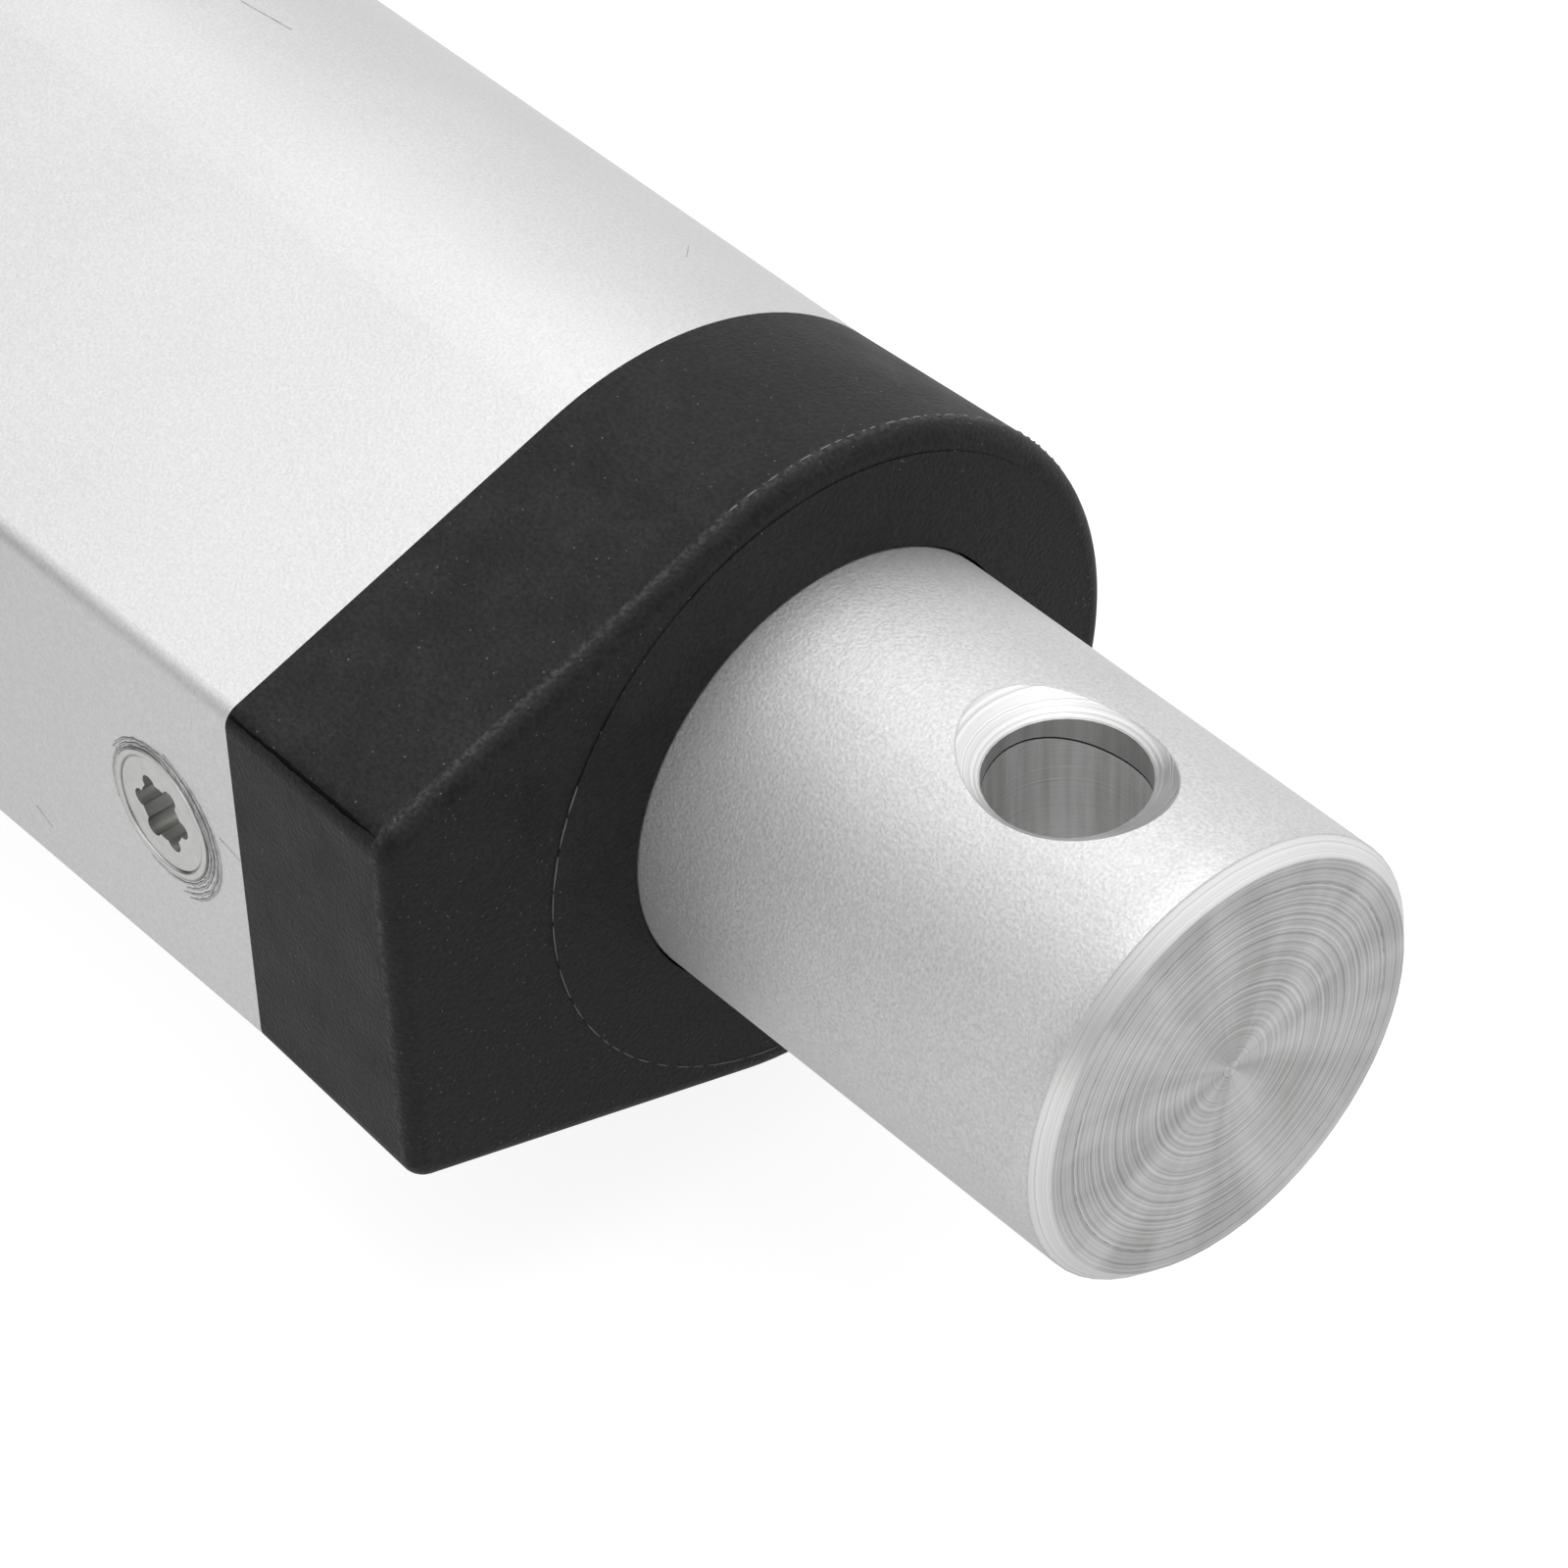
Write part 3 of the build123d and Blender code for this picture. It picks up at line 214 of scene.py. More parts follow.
def facing_marks(tree, place):
    """Colour, gloss and height of the faced end: uneven rings, in paler and darker sectors that are
    a painted reflection.
    """
    # A facing tool's feed of 0.14 mm. The sectors are a painted reflection, the fan of light that
    # the rings spread; they run out from the middle and wander a little on their way.
    feed, wander = 0.14, 0.12
    rings = lathe_marks(tree, place, feed)
    offset = across_axis(tree, place)[0]
    spoke = add(tree, "ShaderNodeVectorMath", {0: offset}, operation="NORMALIZE")
    spoke = add(tree, "ShaderNodeVectorMath", {0: offset, 1: (wander, wander, wander), 2: spoke},
                operation="MULTIPLY_ADD")
    reflection_sectors = add(tree, "ShaderNodeTexNoise",
                  {"Vector": spoke, "Scale": 1.3, "Detail": 3.0, "Roughness": 0.5})
    ring_share = add(tree, "ShaderNodeMapRange", {
        "Value": rings, "From Min": 0.3, "From Max": 0.7, "To Min": 0.0, "To Max": 0.5})
    # Painted reflection: the sectors lighten and darken the end's colour
    painted_reflection_share = add(tree, "ShaderNodeMapRange", {
        "Value": reflection_sectors, "From Min": 0.35, "From Max": 0.65, "To Min": 0.05, "To Max": 0.38})
    share = add(tree, "ShaderNodeMath", {0: ring_share, 1: painted_reflection_share}, operation="ADD")
    colour = add(tree, "ShaderNodeMix",
                 {SHARE: share, COLOUR_A: linear("#a8a8a7"), COLOUR_B: linear("#ffffff")},
                 data_type="RGBA")
    gloss = add(tree, "ShaderNodeMapRange", {
        "Value": reflection_sectors, "From Min": 0.35, "From Max": 0.65, "To Min": 0.36, "To Max": 0.3})
    return colour.outputs[MIXED_COLOUR], gloss, rings


def drilling_marks(tree, place, in_bore):
    """Colour and height of the cross hole: the drill's rings, and chips' streaks along the bore."""
    # The drill's feed of 0.08 mm. The streaks are 0.5 mm apart and run 8 mm along the hole.
    feed, streak_width, streak_run = 0.08, 0.5, 1 / 0.12
    height_in_hole = add(tree, "ShaderNodeSeparateXYZ", {0: place}).outputs[Z]
    rings = add(tree, "ShaderNodeTexNoise",
                {"W": height_in_hole, "Scale": 1 / feed, "Detail": 2.0}, noise_dimensions="1D")
    drawn_out = add(tree, "ShaderNodeVectorMath",
                    {0: place, 1: (1 / streak_width, 1 / streak_width, 1 / streak_run)},
                    operation="MULTIPLY")
    streaks = add(tree, "ShaderNodeTexNoise", {"Vector": drawn_out, "Scale": 1.0, "Detail": 3.0})
    streak_tone = add(tree, "ShaderNodeMapRange",
                      {"Value": streaks, "From Min": 0.35, "From Max": 0.65})
    ring_tone = add(tree, "ShaderNodeMapRange",
                    {"Value": rings, "From Min": 0.3, "From Max": 0.7})
    bore_tone = add(tree, "ShaderNodeMix",
                    {SHARE: 0.65, NUMBER_A: ring_tone, NUMBER_B: streak_tone}, data_type="FLOAT")
    share = add(tree, "ShaderNodeMix",
                {SHARE: in_bore, NUMBER_A: ring_tone, NUMBER_B: bore_tone}, data_type="FLOAT")
    colour = add(tree, "ShaderNodeMix",
                 {SHARE: share, COLOUR_A: linear("#dadad9"), COLOUR_B: linear("#ffffff")},
                 data_type="RGBA")
    # In the bore the rod's wall is duller than the bar inside it, with a dark line between them
    out = across_axis(tree, place)[1]
    in_wall = add(tree, "ShaderNodeMapRange", {
        "Value": out, "From Min": WALL_RADIUS, "From Max": WALL_RADIUS + 0.04,
        "To Min": 0.0, "To Max": 0.35})
    dulled = add(tree, "ShaderNodeMath", {0: in_wall, 1: in_bore}, operation="MULTIPLY")
    colour = add(tree, "ShaderNodeMix", {
        SHARE: dulled, COLOUR_A: colour.outputs[MIXED_COLOUR], COLOUR_B: linear("#5a5a59")},
        data_type="RGBA")
    at_joint = add(tree, "ShaderNodeMath", {0: out, 1: WALL_RADIUS - 0.05, 2: 0.05},
                   operation="COMPARE")
    joint_line = add(tree, "ShaderNodeMath", {0: at_joint, 1: in_bore}, operation="MULTIPLY")
    colour = add(tree, "ShaderNodeMix", {
        SHARE: joint_line, COLOUR_A: colour.outputs[MIXED_COLOUR], COLOUR_B: linear("#4a4a4a")},
        data_type="RGBA")
    return colour.outputs[MIXED_COLOUR], rings


def machined_marks(tree, place):
    """Colour, gloss and height of the rod's bright machining: its faced end and its cross hole."""
    # The hole's middle line stands at the rod's eye, so what is near that line is the hole. The
    # limits lie a hair outside its walls, so that the mesh's facets fall inside them.
    level_place = add(tree, "ShaderNodeVectorMath", {0: place, 1: (1, 1, 0)}, operation="MULTIPLY")
    from_eye = add(tree, "ShaderNodeVectorMath", {0: level_place, 1: (ROD_EYE, 0, 0)},
                   operation="DISTANCE").outputs["Value"]
    in_bore = add(tree, "ShaderNodeMapRange", {
        "Value": from_eye, "From Min": BORE_RADIUS + 0.04, "From Max": BORE_RADIUS + 0.08,
        "To Min": 1.0, "To Max": 0.0})
    in_hole = add(tree, "ShaderNodeMapRange", {
        "Value": from_eye, "From Min": SINK_RADIUS + 0.1, "From Max": SINK_RADIUS + 0.2,
        "To Min": 1.0, "To Max": 0.0})
    faced_colour, faced_gloss, faced_height = facing_marks(tree, place)
    drilled_colour, drilled_height = drilling_marks(tree, place, in_bore)
    colour = add(tree, "ShaderNodeMix",
                 {SHARE: in_hole, COLOUR_A: faced_colour, COLOUR_B: drilled_colour},
                 data_type="RGBA")
    height = add(tree, "ShaderNodeMix",
                 {SHARE: in_hole, NUMBER_A: faced_height, NUMBER_B: drilled_height},
                 data_type="FLOAT")
    gloss = add(tree, "ShaderNodeMix",
                {SHARE: in_bore, NUMBER_A: faced_gloss, NUMBER_B: 0.5}, data_type="FLOAT")
    return colour.outputs[MIXED_COLOUR], gloss, height


def rod_aluminium():
    # The same blasted aluminium, with its end, chamfer and cross hole machined bright after
    # blasting. Everything inside the blasted skin's radius is machined. The chamfer is drawn paler
    # than the end, a painted highlight, and next to it a band of the skin is rubbed smoother. Real
    # dimples of 0.1 mm are drawn at 0.15 mm to show.
    dimple, dimple_depth, drift_size, cut_depth = 0.15, 0.022, 7.0, 0.012
    material, tree, place = start_finish("bead_blasted_rod_with_bright_machining")
    dimples = add(tree, "ShaderNodeTexNoise",
                  {"Vector": place, "Scale": 1 / dimple, "Detail": 2.0})
    drift = add(tree, "ShaderNodeTexNoise",
                {"Vector": place, "Scale": 1 / drift_size, "Detail": 2.0})
    share = add(tree, "ShaderNodeMapRange", {
        "Value": dimples, "From Min": 0.25, "From Max": 0.75, "To Min": 0.12, "To Max": 0.6})
    share = add(tree, "ShaderNodeMath", {0: drift, 1: 0.25, 2: share}, operation="MULTIPLY_ADD")
    blasted = add(tree, "ShaderNodeMix",
                  {SHARE: share, COLOUR_A: linear("#c0c0c0"), COLOUR_B: linear("#f0f0f0")},
                  data_type="RGBA")
    along = add(tree, "ShaderNodeSeparateXYZ", {0: place}).outputs[X]
    rubbed_gloss = add(tree, "ShaderNodeMapRange", {
        "Value": along, "From Min": ROD_END - 2.2, "From Max": ROD_END - 0.7,
        "To Min": 0.62, "To Max": 0.48}, interpolation_type="SMOOTHSTEP")
    marks_colour, marks_gloss, marks_height = machined_marks(tree, place)
    out = across_axis(tree, place)[1]
    machined = add(tree, "ShaderNodeMapRange", {
        "Value": out, "From Min": ROD_RADIUS - 0.07, "From Max": ROD_RADIUS - 0.05,
        "To Min": 1.0, "To Max": 0.0})
    # The chamfer is the outermost 0.7 mm of the last 1.1 mm
    near_end = add(tree, "ShaderNodeMapRange",
                   {"Value": along, "From Min": ROD_END - 1.2, "From Max": ROD_END - 1.1})
    near_side = add(tree, "ShaderNodeMapRange",
                    {"Value": out, "From Min": ROD_RADIUS - 0.72, "From Max": ROD_RADIUS - 0.64})
    on_chamfer = add(tree, "ShaderNodeMath", {0: near_end, 1: near_side}, operation="MULTIPLY")
    cut_share = add(tree, "ShaderNodeMapRange",
                    {"Value": marks_height, "From Min": 0.3, "From Max": 0.7})
    # Painted highlight: the chamfer is drawn near white, paler than the faced end
    chamfer_highlight = add(tree, "ShaderNodeMix",
              {SHARE: cut_share, COLOUR_A: linear("#e4e4e3"), COLOUR_B: linear("#ffffff")},
              data_type="RGBA")
    bright = add(tree, "ShaderNodeMix", {
        SHARE: on_chamfer, COLOUR_A: marks_colour, COLOUR_B: chamfer_highlight.outputs[MIXED_COLOUR]},
        data_type="RGBA")
    colour = add(tree, "ShaderNodeMix", {
        SHARE: machined, COLOUR_A: blasted.outputs[MIXED_COLOUR],
        COLOUR_B: bright.outputs[MIXED_COLOUR]}, data_type="RGBA")
    gloss = add(tree, "ShaderNodeMix",
                {SHARE: machined, NUMBER_A: rubbed_gloss, NUMBER_B: marks_gloss},
                data_type="FLOAT")
    skin = add(tree, "ShaderNodeMath", {0: dimples, 1: dimple_depth}, operation="MULTIPLY")
    cuts = add(tree, "ShaderNodeMath", {0: marks_height, 1: cut_depth}, operation="MULTIPLY")
    height = add(tree, "ShaderNodeMix", {SHARE: machined, NUMBER_A: skin, NUMBER_B: cuts},
                 data_type="FLOAT")
    relief = add(tree, "ShaderNodeBump", {"Height": height, "Distance": MM})
    return end_finish(material, {
        "Base Color": colour.outputs[MIXED_COLOUR], "Roughness": gloss, "Normal": relief,
        "Metallic": 1.0})


def faced_aluminium():
    # Bar stock faced on a lathe together with the rod's end, and drilled with it: the rings
    # spread each light into a fan
    cut_depth = 0.018
    material, tree, place = start_finish("faced_aluminium_bar")
    marks_colour, marks_gloss, marks_height = machined_marks(tree, place)
    tangent = add(tree, "ShaderNodeTangent", direction_type="RADIAL", axis="X")
    relief = add(tree, "ShaderNodeBump", {"Height": marks_height, "Distance": cut_depth * MM})
    return end_finish(material, {
        "Base Color": marks_colour, "Roughness": marks_gloss, "Normal": relief,
        "Tangent": tangent, "Metallic": 1.0, "Anisotropic": 0.35})


def glass_filled_nylon():
    # Black glass-filled nylon from a spark-eroded mould: matte and faintly mottled, and the ends
    # of the fibres show as pale specks. Real pits of 0.05 mm are drawn at 0.2 mm, and real fibres
    # of 0.01 mm at 0.06 mm and 0.4 mm apart, to show.
    pit, pit_depth, mottle, fibre_gap = 0.2, 0.05, 2.4, 0.4
    material, tree, place = start_finish("moulded_glass_filled_nylon")
    pits = add(tree, "ShaderNodeTexNoise", {"Vector": place, "Scale": 1 / pit, "Detail": 3.0})
    drift = add(tree, "ShaderNodeTexNoise", {"Vector": place, "Scale": 1 / mottle, "Detail": 5.0})
    share = add(tree, "ShaderNodeMath", {0: pits, 1: drift}, operation="MULTIPLY")
    share = add(tree, "ShaderNodeMapRange", {"Value": share, "From Min": 0.12, "From Max": 0.4})
    black = add(tree, "ShaderNodeMix",
                {SHARE: share, COLOUR_A: linear("#020202"), COLOUR_B: linear("#242424")},
                data_type="RGBA")
    cells = add(tree, "ShaderNodeTexVoronoi", {"Vector": place, "Scale": 1 / fibre_gap})
    tone = add(tree, "ShaderNodeSeparateColor", {0: cells.outputs["Color"]})
    chosen = add(tree, "ShaderNodeMapRange", {
        "Value": tone, "From Min": 0.4, "From Max": 1.0, "To Min": 0.0, "To Max": 0.7})
    dots = add(tree, "ShaderNodeMapRange", {
        "Value": cells.outputs["Distance"], "From Min": 0.06, "From Max": 0.13,
        "To Min": 1.0, "To Max": 0.0})
    specks = add(tree, "ShaderNodeMath", {0: chosen, 1: dots}, operation="MULTIPLY")
    colour = add(tree, "ShaderNodeMix", {
        SHARE: specks, COLOUR_A: black.outputs[MIXED_COLOUR], COLOUR_B: linear("#7c7c7c")},
        data_type="RGBA")
    # A speckled grey along the outer rim of the rounding round the cap's front: partly scuffs from
    # handling, partly a painted highlight where the rounding catches the light
    along = add(tree, "ShaderNodeSeparateXYZ", {0: place}).outputs[X]
    rising = add(tree, "ShaderNodeMapRange",
                 {"Value": along, "From Min": CAP_FACE - 1.0, "From Max": CAP_FACE - 0.85})
    falling = add(tree, "ShaderNodeMapRange", {
        "Value": along, "From Min": CAP_FACE - 0.7, "From Max": CAP_FACE - 0.5,
        "To Min": 1.0, "To Max": 0.0})
    rim = add(tree, "ShaderNodeMath", {0: rising, 1: falling}, operation="MULTIPLY")
    scuffs = add(tree, "ShaderNodeMapRange", {
        "Value": pits, "From Min": 0.4, "From Max": 0.68, "To Min": 0.02, "To Max": 0.2})
    scuffed_and_highlit = add(tree, "ShaderNodeMath", {0: rim, 1: scuffs}, operation="MULTIPLY")
    # Painted highlight and scuffs: the rim is greyed in specks
    colour = add(tree, "ShaderNodeMix", {
        SHARE: scuffed_and_highlit, COLOUR_A: colour.outputs[MIXED_COLOUR], COLOUR_B: linear("#7a7a7a")},
        data_type="RGBA")
    gloss = add(tree, "ShaderNodeMapRange", {
        "Value": drift, "From Min": 0.3, "From Max": 0.7, "To Min": 0.46, "To Max": 0.6})
    relief = add(tree, "ShaderNodeBump", {"Height": pits, "Distance": pit_depth * MM})
    return end_finish(material, {
        "Base Color": colour.outputs[MIXED_COLOUR], "Roughness": gloss, "Normal": relief,
        "IOR": 1.53, "Specular IOR Level": 0.22})


# Light goes a short way into these pale plastics and softens their edges
WAXY = {"Subsurface_Weight": 0.08, "Subsurface_Radius": (0.002, 0.002, 0.0015),
        "Subsurface_Scale": 0.5}

# One finish for each slot of the part's record. Moulded and plated grain of 0.1 mm or less is
# drawn at 0.15 to 0.6 mm to show, and lathe marks are drawn at the feed of a real cut.
finishes = {
    "anodised_tube": bead_blasted_aluminium("bead_blasted_tube", "#c9c9c9", "#e9e9e9"),
    # The motor's tube, blasted alike and anodised a little thicker: a shade darker
    "anodised_motor_tube": bead_blasted_aluminium(
        "bead_blasted_motor_tube", "#c4c4c4", "#e4e4e4"),
    "anodised_rod": rod_aluminium(),
    "turned_aluminium": faced_aluminium(),
    "cap_plastic": glass_filled_nylon(),
    # ABS from a fine-textured mould: even black with a soft sheen
    "motor_cap_plastic": plain_finish(
        "moulded_abs", "#131315", "#29292c", rough=0.46, grain=0.35, depth=0.05),
    # Cold-headed steel under bright nickel: mirror-like but faintly rippled
    "screw_steel": plain_finish(
        "nickel_plated_screw", "#b4b4b2", "#e4e4e2", rough=0.32, grain=0.4, depth=0.01,
        patch=1.5, Metallic=1.0),
    # The same screws in the cover, handled when they were driven: a little duller
    "cover_screw_steel": plain_finish(
        "nickel_plated_cover_screw", "#adadaa", "#d8d8d5", rough=0.34, grain=0.4, depth=0.01,
        patch=1.5, Metallic=1.0),
    # Die-cast zinc alloy under a powder coat: black, with the soft 0.8 mm waves of baked powder
    "painted_casting": plain_finish(
        "powder_coated_casting", "#0e0e10", "#2a2a2d", rough=0.42, grain=0.8, depth=0.09,
        patch=5.0, Coat_Weight=0.2, Coat_Roughness=0.28),
    # Cut from calendered nitrile sheet: dull black
    "gasket_rubber": plain_finish(
        "nitrile_sheet", "#121212", "#1d1d1d", rough=0.7, grain=0.3, depth=0.02),
    # Nitrile from a polished mould, wiped by an oily rod: black and a little shiny
    "seal_rubber": plain_finish(
        "moulded_nitrile_seal", "#0f0f10", "#1a1a1b", rough=0.55, grain=0.3, depth=0.01),
    # Rubber from a blasted mould: a soft, dusty black
    "grommet_rubber": plain_finish(
        "moulded_grommet_rubber", "#141414", "#202020", rough=0.62, grain=0.25, depth=0.015),
    # Acetal turned at a feed of 0.25 mm: waxy white with fine rings
    "acetal": plain_finish(
        "turned_acetal", "#d4d1c6", "#e9e6dc", rough=0.38, grain=0.4, depth=0.004, patch=5.0,
        feed=0.25, feed_depth=0.004, **WAXY),
    # Unfilled nylon, moulded: a warm, milky white
    "nylon_gear": plain_finish(
        "moulded_natural_nylon", "#cdc6ae", "#e4deca", rough=0.42, grain=0.5, depth=0.006,
        patch=4.0, **WAXY),
    # Ground steel: bright and even, with hair-fine rings from the wheel
    "ground_steel": plain_finish(
        "ground_steel_pin", "#a9a9a9", "#cfcfcf", rough=0.25, grain=0.3, depth=0.003, patch=4.0,
        feed=0.12, feed_depth=0.002, Metallic=1.0),
    # Spring steel, hardened and blackened in oil: a dark, bluish metal
    "spring_steel": plain_finish(
        "blackened_spring_steel", "#26262a", "#3c3c42", rough=0.4, grain=0.3, depth=0.005,
        patch=2.0, Metallic=1.0),
    # Steel whose thread was rolled at 2 mm lead, under a film of grease: a wet, warm gloss
    "rolled_steel": plain_finish(
        "greased_rolled_steel", "#8d8b86", "#b7b4ad", rough=0.3, grain=0.8, depth=0.01,
        patch=3.0, feed=2.0, feed_depth=0.02, Metallic=1.0, Coat_Weight=0.5,
        Coat_Roughness=0.15),
    # Bearing steel, ground and lapped: nearly a mirror
    "bearing_steel": plain_finish(
        "ground_bearing_steel", "#b4b4b6", "#d4d4d6", rough=0.16, grain=0.5, depth=0.001,
        patch=3.0, feed=0.1, feed_depth=0.0008, Metallic=1.0),
    # Zinc plate on pressed steel: pale grey, a little cloudy
    "zinc_plated_steel": plain_finish(
        "zinc_plated_pressing", "#a5a8a6", "#c9ccc8", rough=0.35, grain=0.6, depth=0.004,
        patch=4.0, Metallic=1.0),
    # Sintered ferrite: dark, dry and grainy
    "ferrite": plain_finish(
        "sintered_ferrite", "#2c2c2f", "#434347", rough=0.6, grain=0.2, depth=0.02),
    # Carbon powder pressed into a block: dark, with a faint graphite shine
    "brush_carbon": plain_finish(
        "pressed_carbon", "#1e1e1f", "#333335", rough=0.55, grain=0.15, depth=0.015),
    # Brass hobbed and left bare: yellow, with the cutter's fine steps
    "brass": plain_finish(
        "hobbed_brass", "#b48f45", "#dcb96a", rough=0.28, grain=0.3, depth=0.004, patch=3.0,
        feed=0.2, feed_depth=0.004, axis_y=MOTOR_Y, Metallic=1.0),
    # Stacked steel sheets 0.5 mm thick: a fine line between each two
    "lamination_steel": plain_finish(
        "stacked_laminations", "#5f5f61", "#8a8a8c", rough=0.42, grain=0.4, depth=0.004,
        patch=4.0, feed=0.5, feed_depth=0.03, axis_y=MOTOR_Y, Metallic=1.0),
    # Enamelled wire 0.4 mm across, wound side by side: orange-brown under clear enamel
    "enamelled_copper": plain_finish(
        "enamelled_copper_wire", "#8a3f1c", "#c4703a", rough=0.3, grain=0.4, depth=0.01,
        patch=3.0, feed=0.4, feed_depth=0.06, axis_y=MOTOR_Y, Metallic=0.8, Coat_Weight=0.6,
        Coat_Roughness=0.1),
    # Copper turned at a feed of 0.15 mm and polished by the brushes: pink and bright
    "commutator_copper": plain_finish(
        "turned_copper", "#a8663c", "#d08c5c", rough=0.28, grain=0.3, depth=0.003, patch=2.0,
        feed=0.15, feed_depth=0.004, axis_y=MOTOR_Y, Metallic=1.0),
    # Green solder mask over glass cloth woven at 0.5 mm: the weave shows as a fine relief
    "circuit_board": plain_finish(
        "solder_masked_board", "#12502c", "#1d6b3c", rough=0.35, grain=0.6, depth=0.01,
        patch=5.0, feed=0.5, feed_depth=0.004, Coat_Weight=0.4, Coat_Roughness=0.2),
    # Thermoset switch body from a satin mould: black and slightly glossy
    "switch_plastic": plain_finish(
        "moulded_switch_body", "#161617", "#222224", rough=0.45, grain=0.3, depth=0.01),
    # Red nylon, moulded smooth so that it slides: soft gloss
    "plunger_plastic": plain_finish(
        "moulded_red_plunger", "#9c2a1e", "#b83a2a", rough=0.4, grain=0.3, depth=0.006),
}
# Nylon torn thin where the mould closed whitens, so it shows pale against the black. Along the
# ring's lower side the pale line is also a painted highlight of the ring's lit edge
flash_and_highlight_nylon = plain_finish(
    "torn_nylon_and_painted_highlight", "#4a4a4a", "#8e8e8e", rough=0.6, grain=0.2, depth=0.02, patch=1.0)
# Painted shade: a dead black, dull line along each lower corner of the cap, standing in for the
# dark that the corner's rounding reflects
painted_shade_crease = plain_finish(
    "painted_shade_nylon_line", "#070707", "#161616", rough=0.85, grain=0.2, depth=0.01, patch=0.4,
    Specular_IOR_Level=0.05)
# Bare aluminium smeared by the countersinking cutter: bright ridges with dark dirt between them
smeared_aluminium = plain_finish(
    "smeared_bare_aluminium", "#5c5c5c", "#e8e8e8", rough=0.35, grain=0.3, depth=0.02,
    patch=0.5, Metallic=1.0)

for subpart in frame["record"]["subparts"]:
    mesh = nodes[subpart["node"]].data
    mesh.materials.clear()
    mesh.materials.append(finishes[subpart["material_slot"]])


def skin(shape, sections, closed):
    """Skin a row of sections, each a list of places in millimetres, into a hoop or a capped bar."""
    rows = [[shape.verts.new(Vector(place) * MM) for place in section] for section in sections]
    following = rows[1:] + rows[:1] if closed else rows[1:]
    for near, far in zip(rows, following):
        for i in range(len(near)):
            k = (i + 1) % len(near)
            shape.faces.new((near[i], near[k], far[k], far[i]))
    if not closed:
        shape.faces.new(list(reversed(rows[0])))
        shape.faces.new(rows[-1])


def ridge_profile(half_width, height, foot=0.01, lean=0.0):
    """Places across and above a surface for a thin ridge, with its feet sunk into the surface."""
    return (-half_width, -foot), (half_width, -foot), (lean, height)


def cap_ring_flash_and_highlight(shape):
    """The thin broken line where the cap's round insert met the mould, drawn pale only along the
    ring's lower side: partly flash, partly a painted highlight of the ring's lit edge.
    """
    draw = random.Random(11)
    start_angle, end_angle, step = 62.0, 255.0, 1.2
    ring_face = CAP_FACE + 0.03
    angle = start_angle
    while angle < end_angle:
        length = draw.uniform(2.0, 9.0)
        steps = max(3, int(length / step))
        sections = []
        for i in range(steps + 1):
            turn = math.radians(angle + length * i / steps)
            swell = math.sin(math.pi * i / steps) ** 0.5
            height = 0.02 + 0.05 * swell * draw.uniform(0.5, 1.0)
            section = []
            for across, up in ridge_profile(0.02 + 0.02 * swell, height):
                radius = CAP_RING_RADIUS + across
                section.append((
                    ring_face + up, -radius * math.sin(turn), radius * math.cos(turn)))
            sections.append(section)
        skin(shape, sections, closed=False)
        angle += length + draw.uniform(0.3, 2.0)


def cap_edge_flash(shape):
    """Dots of flash on the cap's round side, where the front rounding starts."""
    draw = random.Random(5)
    start_angle, end_angle, steps = -14.0, 62.0, 5
    rounding_start = CAP_FACE - CAP_FRONT_RADIUS
    side_radius = TUBE_RADIUS + CAP_GROWTH * (CAP_LENGTH - CAP_FRONT_RADIUS) / CAP_LENGTH
    angle = start_angle
    while angle < end_angle:
        length = draw.uniform(0.5, 2.2)
        sections = []
        for i in range(steps):
            turn = math.radians(angle + length * i / (steps - 1))
            height = 0.05 * math.sin(math.pi * (i + 0.5) / steps)
            section = []
            for along, up in ridge_profile(0.05, height, foot=0.02):
                radius = side_radius + up
                section.append((
                    rounding_start + along, radius * math.sin(turn), radius * math.cos(turn)))
            sections.append(section)
        skin(shape, sections, closed=False)
        angle += length + draw.uniform(0.6, 2.4)


def screw_burr(shape):
    """The smeared burr that the countersinking cutter left round the tube's screw hole."""
    draw = random.Random(3)
    centre = TUBE_END - SCREW_SETBACK
    step = 4
    # Each curl's radius, the angles it runs between, and how high it stands
    curls = ((3.2, -110, 200, 0.1), (3.42, -70, 150, 0.16), (3.68, -75, 80, 0.12),
             (3.9, -70, 20, 0.08))
    for curl_radius, start, end, high in curls:
        steps = int((end - start) / step)
        sections = []
        for i in range(steps + 1):
            turn = math.radians(start + (end - start) * i / steps)
            swell = math.sin(math.pi * i / steps)
            here = curl_radius + draw.uniform(-0.03, 0.03)
            height = 0.01 + high * swell * draw.uniform(0.6, 1)
            section = []
            for across, up in ridge_profile(0.09, height, lean=0.02):
                radius = here + across
                section.append((
                    centre + radius * math.cos(turn), -TUBE_FLAT - up, radius * math.sin(turn)))
            sections.append(section)
        skin(shape, sections, closed=False)


